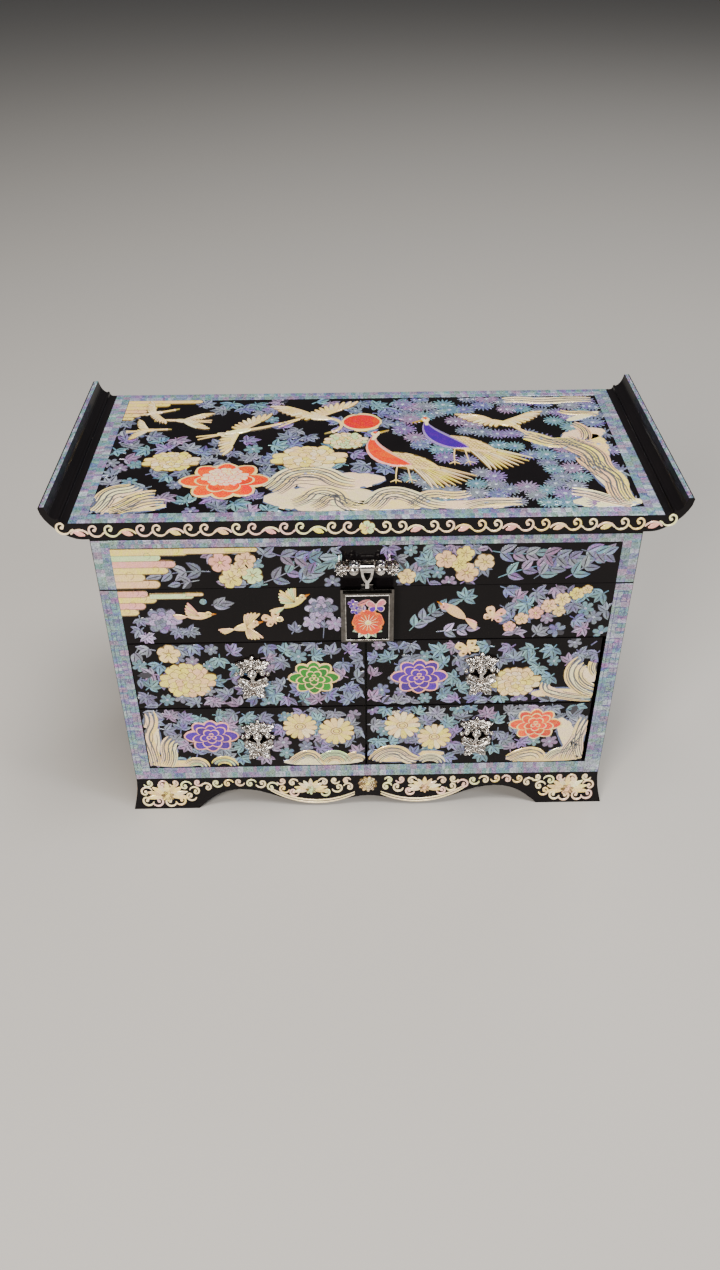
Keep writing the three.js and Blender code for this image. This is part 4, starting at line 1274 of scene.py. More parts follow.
def standing_bird(board, breast, heading, turn, reach, dye, beak, rim):
    """A long-legged bird: one dyed stroke is its breast and neck, over a scaled body with a
    sweep of tail feathers."""
    board.begin()
    x, y = breast
    body_x, body_y = x - 4, y + 3
    for i in range(9):
        angle = -0.35 - 0.085 * i
        length = 42 - 1.6 * i
        bend = -0.16 - 0.02 * i
        over = 0.01 * i
        root = towards(body_x, body_y, -0.5, 8 + 0.6 * i)
        tint = varied(board, (CREAM, IVORY, YELLOW), 0.08)
        feather = (*root, angle, length, 1.5, (0.25, 0.5), bend)
        quill = (*root, angle, 0.92 * length, 0.17, (0.1, 0.3), bend)
        ground(board, *feather, over, UMBER, 0.3)
        board.stroke("pearl", *feather, dye=tint, lift=over, rings=12)
        board.stroke("dyed", *quill, dye=UMBER, lift=0.05 + over, rings=12)
    for side in (0, 5):
        leg = (x + 2 + side, y - 4, -1.75 + 0.03 * side, 17)
        board.stroke("pearl", *leg, 0.42, (0.05, 0.1), 0.15, dye=CREAM)
        foot_x, foot_y, end = walk(*leg, 0.15)
        for toe in (-0.9, 0.0, 0.9):
            board.stroke("pearl", foot_x, foot_y, end + toe, 3.6, 0.32, (0.1, 0.5), dye=CREAM)
    trunk = (body_x - 3, body_y + 2, -0.42, 34, 8.0, (0.55, 0.75), -0.12)
    ground(board, *trunk, 0.08, UMBER, 0.35)
    board.stroke("pearl", *trunk, dye=CREAM, lift=0.11, rings=14)
    for row in range(7):
        for i in range(8 - row // 2):
            along = 3.5 + 3.1 * i + 1.5 * (row % 2)
            across = (row - 3) * 1.75 * (1 - 0.022 * along)
            px, py = towards(body_x, body_y + 1, -0.46, along)
            px, py = towards(px, py, -0.46 + math.pi / 2, across)
            board.stroke("dyed", px, py, 0.75, 2.6, 0.20, (0.2, 0.2), -2.5, dye=UMBER, lift=0.16, rings=6)
    shoulder = (x + 9, y - 6, heading)
    outline = (0.75, 1.25)
    board.stroke("pearl", *shoulder, reach, 6.4, outline, turn, dye=rim, lift=0.15, rings=16)
    start = towards(*shoulder, 1.2)
    board.stroke(
        "dyed", *start, heading, reach - 3, 5.4, outline, turn * 0.97, dye=dye, lift=0.20, rings=16,
    )
    head_x, head_y, end = walk(*shoulder, reach, turn)
    nape = (*walk(*shoulder, reach, turn, share=0.82)[:2], end + 0.1)
    board.stroke("pearl", *nape, 0.24 * reach, 1.15, (0.1, 0.3), turn * 0.15, dye=IVORY, lift=0.21)
    disc(board, head_x, head_y, 2.3, IVORY, lift=0.24)
    disc(board, head_x, head_y + 1.1, 1.3, CORAL, "dyed", 0.27)
    disc(board, head_x, head_y - 0.3, 0.45, INK, "dyed", 0.3, 5)
    board.stroke("dyed", head_x, head_y, beak, 8.5, 0.75, (0.1, 0.9), -0.15, dye=BEAK_HORN, lift=0.2)


def lay_top():
    """The lid's top: flying cranes and a sun over two standing birds, peonies, rocks, pine."""
    plane = (0, 0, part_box("top_panel")[1].z)
    border = Board("top_border", plane, *TOP, "lid", 43)
    for side in (-1, 1):
        x0, x1 = sorted((side * 133.4, side * 141.4))
        band_of_shell(border, x0, x1, -TOP_EDGE, TOP_EDGE)
        y0, y1 = sorted((side * 62.0, side * TOP_EDGE))
        band_of_shell(border, -133.3, 133.3, y0, y1)
    border.lay(MATERIAL_OF, SLOT_OF)
    board = Board("top_inlay", plane, *TOP, "lid", 17, limits=(-133.3, 133.3, -61.9, 61.9))
    taken = [
        (-0.8, 31.6, 11), (-70.7, -30.8, 19), (-100, -10.8, 11), (-28.8, -9.2, 16), (-9.6, 9.2, 9),
        (-105, 40, 22), (-72, 32, 17), (-56, 22, 12), (-86, 16, 12), (-30, 40, 18), (-20, 20, 9),
        (14, 0, 15), (26, -14, 14), (42, -28, 14), (38, 24, 14), (55, 4, 15), (72, -14, 14), (84, -28, 12),
        (75, 32, 14), (90, 30, 14), (60, 38, 8), (-15, -45, 20), (-40, -40, 16), (15, -48, 16), (
            -122, -45, 13,
        ),
        (105, 12, 11), (118, -10, 11), (122, -45, 14),
    ]
    foliage(board, (-132, 30, -61, 58), taken, 7.7, 1.1, 0.15)
    scatter(
        board, 1800, (20, 130, -59, 60), taken, lambda b, x,
        y: needle_tuft(b, x, y, b.rng.uniform(5.4, 7.4)), 7.4,
    )
    cloud(board, (
        (-133, 59.6, 42, 2.2, CREAM), (-133, 56.0, 24, 2.2, YELLOW), (-133, 52.0, 17, 2.4, CREAM),
        (-133, 47.6, 12, 2.4, PEACH), (-133, 43.0, 9, 2.4, CREAM), (-133, 39.0, 6, 1.8, YELLOW),
    ))
    for values in (
        (-116, 46, 11, 0.3, ((1.9, -0.3), (-1.1, 0.3)), (0.3, 0.1, 0.7), 3.4),
        (-99, 36, 13, 3.0, ((0.75, -0.2), (-0.95, 0.3)), (3.0, 0.3, 0.7), -0.05),
        (-117, 25, 10, 0.1, ((2.1, -0.3), (-2.3, 0.3)), (0.1, -0.1, 0.7), 3.3),
        (-68, 22, 19, 0.35, ((0.95, -0.35), (-1.85, 0.35)), (0.25, 0.25, 0.95), 3.45),
        (-26, 38, 21, -0.25, ((2.35, 0.2), (0.75, -0.35)), (-0.05, -2.6, 1.05), 3.75),
        (76, 28, 19, 2.65, ((2.75, -0.3), (0.55, 0.2)), (2.1, 0.9, 0.75), -0.9),
    ):
        crane(board, *values)
    board.begin()
    disc(board, -0.8, 31.6, 11.0, CREAM, lift=0.0, rings=16)
    disc(board, -0.8, 31.6, 9.9, RED, "dyed", 0.06, 16)
    for values in (
        (-100, -10.8, 15, 10),
        (-28.8, -9.2, 20, 13),
        (-9.6, 9.8, 12, 9, (IVORY, CREAM, MINT)),
    ):
        cream_peony(board, *values)
    peony(board, -70.7, -31.5, 23, 18, CORAL, CREAM, 0.7, LOTUS_ROWS)
    cream_peony(board, -70.7, -28.0, 12, 9, (IVORY, (0.96, 0.72, 0.58)), CORAL, FIGURE + 0.2)
    for values in (
        (-133, -57, 0.05, 36, 5.5),
        (-132, -46, -0.5, 22, 6),
        (-50, -50, 0.0, 58, 12),
        (-34, -36, 0.1, 44, 9),
        (-14, -57, 0.0, 48, 5.5),
        (26, -58, 0.0, 46, 4.5),
        (100, -57, 0.0, 34, 5.5),
        (118, -20, 1.4, 34, 8),
        (128, -55, 1.9, 38, 6),
        (106, 8, 0.4, 26, 8),
        (112, 30, 0.5, 22, 3),
    ):
        mass(board, *values)
    for values in (
        (-131, -60, 1.1, ((14, 0.4), (10, -1.4), (8, 0.8)), 4, 3.0),
        (-122, -61, 0.2, ((12, 0.5), (14, -0.8)), 3, 2.4),
        (-124, -60, 0.5, ((14, 0.5), (12, -1.0)), 4, 3.0, (YELLOW, CREAM, PEACH)),
        (-47, -42, 0.75, ((12, 0.5), (15, -1.3), (14, -0.9), (14, 0.9)), 6, 2.5),
        (-36, -55, 0.3, ((12, 0.9), (10, -1.5), (12, -1.3), (10, 1.2)), 4, 2.4),
        (-26, -59, 0.5, ((9, 0.7), (10, -2.2), (12, 0.8)), 4, 2.3),
        (2, -59, 0.9, ((10, 0.3), (12, -1.7), (12, -0.4), (14, 0.9)), 5, 2.4),
        (20, -59, 0.6, ((10, 0.5), (12, -1.5), (14, 0.9)), 3, 2.4),
        (48, -60, 0.6, ((14, -0.6), (14, 0.0)), 3, 2.6),
    ):
        veined(board, *values)
    standing_bird(board, (15, -12), 2.85, -1.62, 44, CORAL, 0.55, ROSE)
    standing_bird(board, (46, 6), 2.75, -1.25, 42, PURPLE, -2.6, LILAC)
    for values in (
        (126, -58, 1.9, ((18, -0.5), (16, 0.9), (16, -0.6)), 4, 3.0, (CREAM, PEACH, YELLOW)),
        (122, -30, 2.0, ((16, -0.5), (14, 0.9), (14, -0.3)), 5, 3.0, (CREAM, PEACH, YELLOW)),
        (116, 2, 2.7, ((12, 0.5), (12, -0.9), (9, 0.6)), 4, 2.8, (CREAM, PEACH, YELLOW)),
        (118, 8, 1.2, ((10, 0.5), (10, 0.8)), 3, 2.4, (CREAM, PEACH)),
        (130, 56, 3.0, ((20, 0.3), (18, -0.4), (12, 0.5)), 3, 2.6),
        (130, 36, 2.4, ((12, 0.9), (10, -0.9)), 2, 2.4),
        (128, -59, 2.9, ((16, -0.4), (14, 0.4)), 3, 3.0),
    ):
        veined(board, *values)
    board.lay(MATERIAL_OF, SLOT_OF)


def lay_tips_and_edge():
    """Shell along the tops of the two upturned ends, and the vine on the plate's front edge,
    which rises along the curved ends with them."""
    tips = Board("tip_inlay", (0, 0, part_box("end_moulding_left")[1].z), *TOP, "lid", 18)
    upright_borders(tips, 151.1, 153.1, (-TOP_EDGE, TOP_EDGE))
    tips.lay(MATERIAL_OF, SLOT_OF)
    edge = Board("edge_inlay", (0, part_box("top_panel")[0].y, 0), *FRONT, "lid", 19)

    def height(x):
        return 196.4 + 5.0 * max(0.0, (abs(x) - 134) / 18) ** 2

    running_scroll(edge, -4.5, -150, height, 2.75, 0.56)
    running_scroll(edge, 4.5, 150, height, 2.75, 0.56)
    plum(edge, 0, 196.6, 3.6, (MINT, YELLOW), eye=ROSE)
    edge.lay(MATERIAL_OF, SLOT_OF)


# The scrollwork of half the base's front: place, size, which way its back and its mouth face.
BASE_SCROLLS = (
    (130.2, 5.0, 2.5, 1, 1), (123.6, 4.4, 2.4, -1, 1), (116.8, 4.2, 2.4, 1, 1), (110.2, 4.9, 2.3, -1, 1),
    (104.4, 7.6, 2.2, 1, 1), (
        130.6, 12.4, 2.5, 1, -1,
    ), (128.4, 17.4, 1.9, -1, 1), (120.4, 17.6, 1.9, 1, -1),
    (113.4, 17.4, 1.9, -1, 1), (107.0, 16.4, 2.4, 1, -1), (
        101.6, 12.4, 2.2, -1, -1,
    ), (99.4, 17.6, 1.8, 1, 1),
    (94.4, 15.2, 2.2, -1, -1), (88.4, 16.8, 2.1, 1, 1), (81.8, 17.6, 2.0, 1, -1), (75.2, 17.4, 2.0, 1, 1),
    (68.6, 17.4, 2.1, 1, -1), (62.4, 16.0, 2.2, -1, 1), (56.4, 14.6, 2.4, 1, -1), (50.6, 17.6, 1.8, -1, 1),
    (49.4, 11.8, 2.2, 1, 1), (43.6, 9.4, 2.0, 1, 1), (43.8, 17.4, 1.9, 1, -1), (26.0, 17.6, 1.9, -1, -1),
    (24.6, 9.2, 2.0, -1, 1), (19.2, 17.6, 1.8, 1, 1), (17.6, 12.0, 2.3, -1, 1), (11.2, 13.6, 2.0, -1, -1),
    (12.4, 18.2, 1.6, 1, -1),
)


BODY_HALF = 135
BASE_HEIGHT = 21.5
BASE_LEAN = 3.5


def base_flare(height):
    """The base's face leans out to the floor by BASE_LEAN * (1 - height / BASE_HEIGHT) ** 1.8."""
    return BASE_LEAN * (1 - np.clip(height / BASE_HEIGHT, 0, 1)) ** 1.8


def lotus(board, x, y, size, tint):
    """A lotus seen from the side: long petals fanned to left and right, shorter ones between."""
    board.begin()
    for angle, share in ((-0.12, 1.0), (3.26, 1.0), (0.22, 0.95), (2.92, 0.95), (0.62, 0.8), (2.52, 0.8),
                         (1.02, 0.72), (2.12, 0.72), (1.57, 0.78)):
        start = towards(x, y, angle, 0.22 * size)
        board.stroke(
            "pearl", *start, angle, share * size, 0.15 * size, (0.5, 0.7),
            dye=varied(board, (IVORY, CREAM)),
        )
    petals(
        board, x, y, 7, 0.3, 0.36 * size, 0.11 * size, (0.7, 0.5), (tint,), "pearl", 0.0, 0.06, edge=UMBER,
    )
    disc(board, x, y, 0.12 * size, tint, lift=0.12)


def lay_base(name, plane, axes, half_length, seed, front):
    """Cream scrollwork round the base, with a lotus over each foot and each lobe."""
    board = Board(name, plane, *axes, "carcass", seed, base_flare)
    for side in (-1, 1):
        for x, y, size, back, mouth in BASE_SCROLLS:
            away = BODY_HALF - x
            if not front and away > half_length - 3:
                continue
            at = side * x if front else side * (half_length - away)
            scroll(board, at, y, size, -side * back, mouth, 0.6, varied(board, SCROLL_TINTS, 0.05), 3.0)
        if front:
            lotus(board, side * 118, 8.8, 10.5, (YELLOW, PEACH)[side > 0])
            lotus(board, side * 33.5, 11.4, 8.5, (MINT, PEACH)[side > 0])
            for drop in (0.0, 1.5):
                start = (side * 57, 11.4 + drop)
                angle = -0.62 if side < 0 else math.pi + 0.62
                board.stroke(
                    "pearl", *start, angle, 52, 0.42, (0.1, 0.15), -side * 1.1, dye=IVORY, rings=16,
                    lift=-0.02,
                )
        else:
            lotus(board, side * (half_length - 17), 9.8, 9.5, YELLOW)
    board.begin()
    petals(board, 0, 15.2, 11, 0.2, 5.0, 1.3, (0.7, 0.5), (IVORY, CREAM), "pearl", 0.5, edge=UMBER)
    disc(board, 0, 15.2, 1.2, YELLOW, lift=0.12)
    board.lay(MATERIAL_OF, SLOT_OF)


def lay_side(name, plane, axes, sign, seed):
    """A side of the body: shell border, leaves and two peonies in the black field."""
    border = Board(f"{name}_border", plane, *axes, "carcass", seed + 20)
    upright_borders(border, 54, 61.8, BODY_RISE)
    band_of_shell(border, *SIDE_FIELD, *FOOT_BAND)
    band_of_shell(border, *SIDE_FIELD, 148.4, 156.2)
    for low in (-61.0, 55.0):
        fret(border, low, 30, 150, 6.0)
    border.lay(MATERIAL_OF, SLOT_OF)
    board = Board(name, plane, *axes, "carcass", seed, limits=(*SIDE_FIELD, 30.4, 148.3))
    for values in (
        (-50, 33, 0.9, ((14, -0.4), (12, -1.0), (10, 0.8)), 4, 2.6),
        (48, 33, 2.1, ((16, 0.4), (12, 1.0)), 4, 2.6),
        (-8, 33, 1.0, ((10, -0.8), (10, -1.2)), 3, 2.4),
    ):
        veined(board, *values)
    taken = [
        (-8, 62, 13), (14, 104, 14), (-26, 122, 9), (30, 70, 7), (-44, 42, 9), (40, 44, 9), (2, 38, 8),
        (-30, 92, 9),
    ]
    foliage(board, (-50, 50, 42, 145), taken, 7.2, 1.0, 0.15)
    peony(board, -8, 62, 16, 13, PURPLE if sign > 0 else CORAL, ROSE)
    cream_peony(board, 14, 104, 17, 14)
    plum(board, -26, 122, 6, (PEACH,))
    plum(board, 30, 70, 5.5, (CREAM,))
    butterfly(board, -30, 92, 8, 0.3)
    board.lay(MATERIAL_OF, SLOT_OF)


def lay_lid_side(name, plane, axes, seed):
    """A side of the lid: shell border, a few plum blossoms and leaves."""
    border = Board(f"{name}_border", plane, *axes, "lid", seed + 20)
    upright_borders(border, 54, 61.8, LID_RISE)
    band_of_shell(border, *SIDE_FIELD, *LID_TOP_BAND)
    border.lay(MATERIAL_OF, SLOT_OF)
    board = Board(name, plane, *axes, "lid", seed, limits=(*SIDE_FIELD, *LID_FIELD_RISE))
    for x, y, r, tint in (
        (-14, 168, 5.2, PEACH), (-4, 173, 4.4, CREAM), (-5, 163, 4.2, YELLOW), (30, 170, 4.8, ROSE),
    ):
        plum(board, x, y, r, (tint,))
    taken = [(-10, 168, 10), (30, 170, 6)]
    foliage(board, (-50, 50, 160, 178), taken, 6.6, 0.9, 0.15)
    board.lay(MATERIAL_OF, SLOT_OF)


# The sprigs of each spray on the back: place across, heading, length, bend.
BACK_SPRIGS = (
    (64, 0.2, 44, 0.7), (60, 1.1, 40, -0.6), (70, 2.3, 46, 0.8), (66, 2.9, 34, -0.5), (64, 1.7, 50, 0.5),
)


def lay_back(name, node, body, low, high, seed):
    """The back: a shell border and a spray of leaves and blossom, spare as backs are."""
    board = Board(name, (0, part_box(node)[1].y, 0), *BACK, body, seed)
    upright_borders(board, 127.0, 134.6, (low, high), 2.6)
    if body == "carcass":
        band_of_shell(board, -126.9, 126.9, low, low + 7.6, 2.6)
        for side in (-1, 1):
            for x, angle, length, bend in BACK_SPRIGS:
                heading = angle if side > 0 else math.pi - angle
                sprig(board, side * x, 58, heading, length, 6, 9.0, 2.3, bend=side * bend)
            foliage(board, (*sorted((side * 46, side * 84)), 44, 74), [], 6.5, 1.0, 0.1)
            (cream_peony if side < 0 else shell_peony)(board, side * 65, 58, 15, 12)
            for x, y in ((38, 92), (92, 98), (60, 112)):
                plum(board, side * x, y, 5.0, (varied(board, (PEACH, CREAM, ROSE)),))
            butterfly(board, side * 16, 118, 8, 0.2 * side)
    board.lay(MATERIAL_OF, SLOT_OF)


def lay_clasp_picture():
    """On the clasp's tile: a coral blossom over pale leaves, violets and a butterfly above."""
    board = front_board("clasp_picture", "clasp_tile", "hasp", 31)
    board.begin(0.0)
    for i, angle in enumerate((3.5, 4.1, 4.7, 5.3, 5.9)):
        leaf(board, 0, 135.8, angle, 8.2, 2.3, ((0.56, 0.80, 0.52), (0.66, 0.82, 0.60)), kind="pearl")
    sprig(board, -1.0, 144.8, 2.2, 5.5, 2, 4.0, 1.3, (MAUVE, (0.5, 0.22, 0.2)))
    for i in range(5):
        angle = 0.31 + i * 2 * math.pi / 5
        rimmed(
            board, 0.3, 138.6, angle, 8.0, 4.4, (0.7, 0.3), (0.62, 0.09, 0.04), (0.86, 0.28, 0.14), 0.05,
            width=0.3,
        )
    petals(board, 0.3, 138.6, 14, 0.1, 4.0, 0.15, (0.15, 0.15), (IVORY,), "pearl", 1.2, 0.14, 5)
    disc(board, 0.3, 138.6, 1.6, IVORY, lift=0.3)
    disc(board, 0.3, 138.6, 0.8, YELLOW, lift=0.36)
    for x, y, angle in ((-7.2, 150.5, 0.4), (-6.0, 146.6, 1.2)):
        petals(
            board, x, y, 5, angle, 2.4, 0.9, (0.7, 0.4), (PURPLE, MAUVE), "dyed", 0.2, 0.05,
            edge=(0.4, 0.3, 0.5),
        )
        disc(board, x, y, 0.5, CREAM, lift=0.15)
    leaf(board, -4.4, 150.0, 0.5, 6.6, 1.5, ((0.60, 0.24, 0.22),), kind="pearl")
    for turn, length, tint in (
        (0.75, 6.0, (0.62, 0.25, 0.28)), (2.55, 5.6, (0.62, 0.25, 0.28)), (-0.45, 4.4, PURPLE),
        (3.75, 4.0, PURPLE),
    ):
        rimmed(board, 4.4, 148.4, turn, length, 1.9, (0.8, 0.35), tint, (0.75, 0.55, 0.5), 0.05, width=0.25)
    board.stroke("pearl", 4.4, 146.4, math.pi / 2, 4.4, 0.42, (0.5, 0.6), dye=IVORY, lift=0.25)
    board.lay(MATERIAL_OF, SLOT_OF)
    bars = front_board("clasp_frame_edges", "clasp_frame", "hasp", 32)
    for half, low, high, thick in ((13.1, 125.8, 157.9, 0.32), (11.0, 127.9, 155.8, 0.22)):
        corners = ((-half, low), (half, low), (half, high), (-half, high), (-half, low))
        for (ax, ay), (bx, by) in zip(corners, corners[1:]):
            straight(bars, ax, ay, bx, by, 0.8 * thick, IVORY, "wire")
    bars.lay({"wire": NICKEL}, {"wire": "nickel"})


# ------------------------------------------------------------------ cast fittings

# How far back the outer faces of the hinge leaves lie, in millimetres.
SCREW_FACE = 63.2
CAST_SIDES = 144
CAST_FACE = 40
RIM_BEADS = 22


def cast_butterfly(name, wings, base, back, front, depth, body, centre, node):
    """A cast butterfly as rings round its middle, from the middle of the face out to the rim
    and back in behind. The rim's reach at each angle comes from lobes(), the face's relief
    from wing_relief(); how high a point stands in the relief is kept as the mask for the painted shade in
    its hollows."""
    turn = np.arange(CAST_SIDES) / CAST_SIDES * 2 * np.pi
    share = np.concatenate([np.linspace(0.02, 0.985, CAST_FACE), [1.0, 1.0, 0.95, 0.02]])
    share, turn = np.meshgrid(share, turn, indexing="ij")
    reach = lobes(turn, wings, base) * (1 + 0.035 * np.cos(RIM_BEADS * turn)) * share
    relief = wing_relief(wings, turn, share)
    out = np.full(share.shape, float(back))
    out[:CAST_FACE] = front + depth * relief[:CAST_FACE]
    out[CAST_FACE] = front - 0.2 * (front - back)
    out[CAST_FACE + 1] = back + 0.2 * (front - back)
    x, y, z = centre
    points = np.stack([x + reach * np.cos(turn) * MM, y - out * MM, z + reach * np.sin(turn) * MM], -1)
    quads, caps = tube_faces(1, len(share), CAST_SIDES, clockwise=True)
    mesh, _ = fill_mesh(name, points.reshape(-1, 3), quads, caps, True)
    # The relief height is the mask for painted shade: the cast nickel finish darkens the low points.
    polish = mesh.attributes.new("polish", "FLOAT", "POINT")
    polish.data.foreach_set("value", np.clip(relief, 0, 1).astype(np.float32).ravel())
    show(mesh, name, body, SHADED_CAST_NICKEL, node)


def lobes(turn, places, base):
    """Reach at an angle: a base plus a bell-shaped lobe at each (angle, height, width)."""
    reach = np.full(turn.shape, float(base))
    for at, height, width in places:
        off = (turn - at + np.pi) % (2 * np.pi) - np.pi
        reach = reach + height * np.exp(-((off / width) ** 2))
    return reach


# How a casting's lobes stand out from its middle: angle, reach in millimetres, width.
PLATE_WINGS = (
    (1.57, 3.4, 0.30), (0.30, 5.4, 0.38), (2.84, 5.4, 0.38), (0.95, 2.2, 0.18), (2.19, 2.2, 0.18),
    (-0.42, 2.4, 0.28), (3.56, 2.4, 0.28),
)
PENDANT_WINGS = (
    (0.72, 5.9, 0.40), (2.42, 5.9, 0.40), (-0.87, 4.6, 0.38), (-2.27, 4.6, 0.38),
    (-0.20, 1.6, 0.16), (3.34, 1.6, 0.16), (0.28, 2.2, 0.14), (2.86, 2.2, 0.14),
)
ROSETTE = tuple((i * math.pi / 4, 1.1, 0.24) for i in range(8))


def wing_relief(wings, turn, share):
    """How high a casting's face stands, from 0 to about 1: a rib along each lobe and along
    both its edges, a beaded rim, a row of cross ribs and a domed middle, each a bell shape."""
    ribs = np.zeros_like(turn)
    for at, _, width in wings:
        off = (turn - at + np.pi) % (2 * np.pi) - np.pi
        ribs = np.maximum(ribs, np.exp(-((off / (0.24 * width)) ** 2)))
        ribs = np.maximum(ribs, np.exp(-(((np.abs(off) - 0.72 * width) / (0.17 * width)) ** 2)))
    rim = np.exp(-(((share - 0.90) / 0.07) ** 2)) * (0.8 + 0.2 * np.cos(RIM_BEADS * turn))
    cross = np.exp(-((np.cos(9 * share) / 0.35) ** 2)) * (share > 0.25)
    body = np.exp(-((share / 0.20) ** 4))
    height = np.maximum.reduce([0.85 * ribs * (share > 0.15), rim, 0.55 * cross, body])
    return height * (1 - share ** 16)


def bead_string(name, centres, radii, body, material):
    """Ribbed beads of given half-sizes: latitude rings about X, whose radius ripples eight
    times round; the ripple is kept as the mask for painted shade in the grooves between the ribs."""
    rings, sides = 15, 48
    lat = np.linspace(0.05, np.pi - 0.05, rings)[:, None]
    lon = np.arange(sides)[None, :] / sides * 2 * np.pi
    ripple = 1 + 0.10 * np.cos(8 * lon) * np.sin(lat)
    unit = np.stack(
        [-np.cos(lat) + 0 * lon, np.sin(lat) * np.cos(lon) * ripple, np.sin(lat) * np.sin(lon) * ripple],
        -1,
    )
    centres = np.array(centres, float)
    radii = np.array(radii, float)
    points = (centres[:, None, None, :] + unit[None] * radii[:, None, None, :]).reshape(-1, 3)
    quads, caps = tube_faces(len(centres), rings, sides)
    mesh, _ = fill_mesh(name, points, quads, caps, True)
    # The ripple is the mask for painted shade: the grooves are darkened where the finish reads it.
    polish = mesh.attributes.new("polish", "FLOAT", "POINT")
    values = np.broadcast_to((ripple - 0.9) / 0.2, (len(centres), rings, sides))
    polish.data.foreach_set("value", np.ascontiguousarray(values, np.float32).ravel())
    show(mesh, name, body, material)


# In millimetres: how far a pull's pin is under its plate's top, the plate's middle above the
# pin and the pendant's under it, and how far forward the pins and the clasp's bar lie.
PIN_DROP = 10.8
PLATE_RISE = 2.2
PENDANT_DROP = 10.4
PIN_Y = -66.0
CLASP_BAR_Y = -66.3
# A pull's knobs and the loop of its pendant: place from the pin (x, y, z), then half-sizes.
PULL_KNOBS = (
    (0, 0, 0, 2.6, 2.1, 2.3), (-5.6, 0, 1.2, 1.7, 1.7, 1.9), (5.6, 0, 1.2, 1.7, 1.7, 1.9),
    (-8.4, 0, 0, 1.1, 1.2, 1.2), (8.4, 0, 0, 1.1, 1.2, 1.2), (0, 2.2, 4.6, 2.0, 1.8, 2.2),
)
PULL_LOOP = ((0, 0, -3.0, 1.1, 0.9, 1.6), (0, 0, -5.0, 1.1, 0.9, 1.6))


def hang_pulls():
    """Each pull: a butterfly plate on the drawer, a bar with knobs, and a larger butterfly
    hanging from the bar."""
    for place in sorted(DRAWER_PICTURES):
        drawer, pendant = f"drawer_{place}", f"pendant_{place}"
        plate_node, pendant_node = f"pull_plate_{place}", f"pull_pendant_{place}"
        low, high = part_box(plate_node)
        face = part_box(f"drawer_front_{place}")[0].y
        x = (low.x + high.x) / 2
        pin = high.z - PIN_DROP * MM
        middle = (x, face, pin + PLATE_RISE * MM)
        cast_butterfly(
            f"pull_plate_cast_{place}", PLATE_WINGS, 4.2, -0.05, 1.0, 1.7, drawer, middle, (plate_node,),
        )
        middle = (x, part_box(pendant_node)[1].y, pin - PENDANT_DROP * MM)
        cast_butterfly(
            f"pull_pendant_cast_{place}", PENDANT_WINGS, 4.6, 0.0, 0.9, 1.4, pendant, middle, (
                pendant_node,
            ),
        )
        for name, beads, body, material in (
            (f"pull_knobs_{place}", PULL_KNOBS, drawer, SHADED_CAST_NICKEL),
            (f"pull_loop_{place}", PULL_LOOP, pendant, NICKEL),
        ):
            centres = [(x + bead[0] * MM, PIN_Y * MM + bead[1] * MM, pin + bead[2] * MM) for bead in beads]
            bead_string(name, centres, [[size * MM for size in bead[3:]] for bead in beads], body, material)


def hinge_screws():
    """Round-headed screws on the hinge leaves. A head's height falls from its middle as
    1 - share ** 3, with a slot cut across it."""
    sides, rings = 36, 9
    turn = np.arange(sides) / sides * 2 * np.pi
    share = np.concatenate([np.linspace(0.04, 1.0, rings), [1.0, 0.04]])
    share, turn = np.meshgrid(share, turn, indexing="ij")
    across, along = share * np.cos(turn), share * np.sin(turn)
    rise = 0.25 + 0.55 * (1 - share ** 3) - 0.35 * np.exp(-((along / 0.16) ** 4)) * (share < 0.95)
    rise[rings:] = -0.3
    for leaf_name, body in (("body", "carcass"), ("lid", "lid")):
        for side in ("left", "right"):
            low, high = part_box(f"hinge_{leaf_name}_leaf_{side}")
            pin_side = high.z if leaf_name == "body" else low.z
            far = low.z if leaf_name == "body" else high.z
            z = 0.35 * pin_side + 0.65 * far
            heads = []
            for part in (0.16, 0.5, 0.84):
                x = low.x + part * (high.x - low.x)
                y = SCREW_FACE * MM
                heads.append(np.stack([x + 1.5 * MM * across, y + rise * MM, z + 1.5 * MM * along], -1))
            quads, caps = tube_faces(len(heads), rings + 2, sides)
            mesh, _ = fill_mesh(
                f"hinge_screws_{leaf_name}_{side}", np.stack(heads).reshape(-1, 3), quads, caps, True,
            )
            show(mesh, f"hinge_screws_{leaf_name}_{side}", body, BRASS)


def trim_clasp():
    """Ribbed beads and cast rosettes over the plain ones of the clasp's mount."""
    low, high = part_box("clasp_mount")
    z = (low.z + high.z) / 2
    beads = [(side * 6.6 * MM, CLASP_BAR_Y * MM, z) for side in (-1, 1)]
    bead_string("clasp_beads", beads, [(3.1 * MM, 3.3 * MM, 4.0 * MM)] * 2, "lid", SHADED_CAST_NICKEL)
    for side, word in ((-1, "left"), (1, "right")):
        centre = (side * 12.6 * MM, low.y + 2.4 * MM, z)
        cast_butterfly(f"clasp_rosette_{word}", ROSETTE, 2.6, -0.2, 1.2, 1.2, "lid", centre, ())


def rounded_pad(name, low, high, body, crown, power, replaced, fill, rows=26, sides=96):
    """A pad that fills a box: a superellipsoid, so its faces are nearly flat, its edges
    round, and its middle stands `crown` higher than its edge."""
    low = np.array(low, float)
    high = np.array(high, float)
    half = (high - low) / 2
    lat = np.linspace(-np.pi / 2 + 0.02, np.pi / 2 - 0.02, rows)[:, None]
    lon = np.arange(sides)[None, :] / sides * 2 * np.pi

    def bent(value, e):
        return np.sign(value) * np.abs(value) ** e

    ring = np.cos(lat) ** 0.25
    x = ring * bent(np.cos(lon), power)
    y = ring * bent(np.sin(lon), power)
    z = bent(np.sin(lat), 0.45) + 0 * lon
    dome = crown * np.maximum(0, 1 - x ** 2) * np.maximum(0, 1 - y ** 2) * (z > 0)
    points = np.stack([x * half[0], y * half[1], z * (half[2] - crown / 2) - crown / 2 + dome], -1)
    points = points.reshape(-1, 3) + (low + high) / 2
    quads, caps = tube_faces(1, rows, sides)
    mesh, _ = fill_mesh(name, points, quads, caps, True)
    pad = show(mesh, name, body, VELVET, replaced)


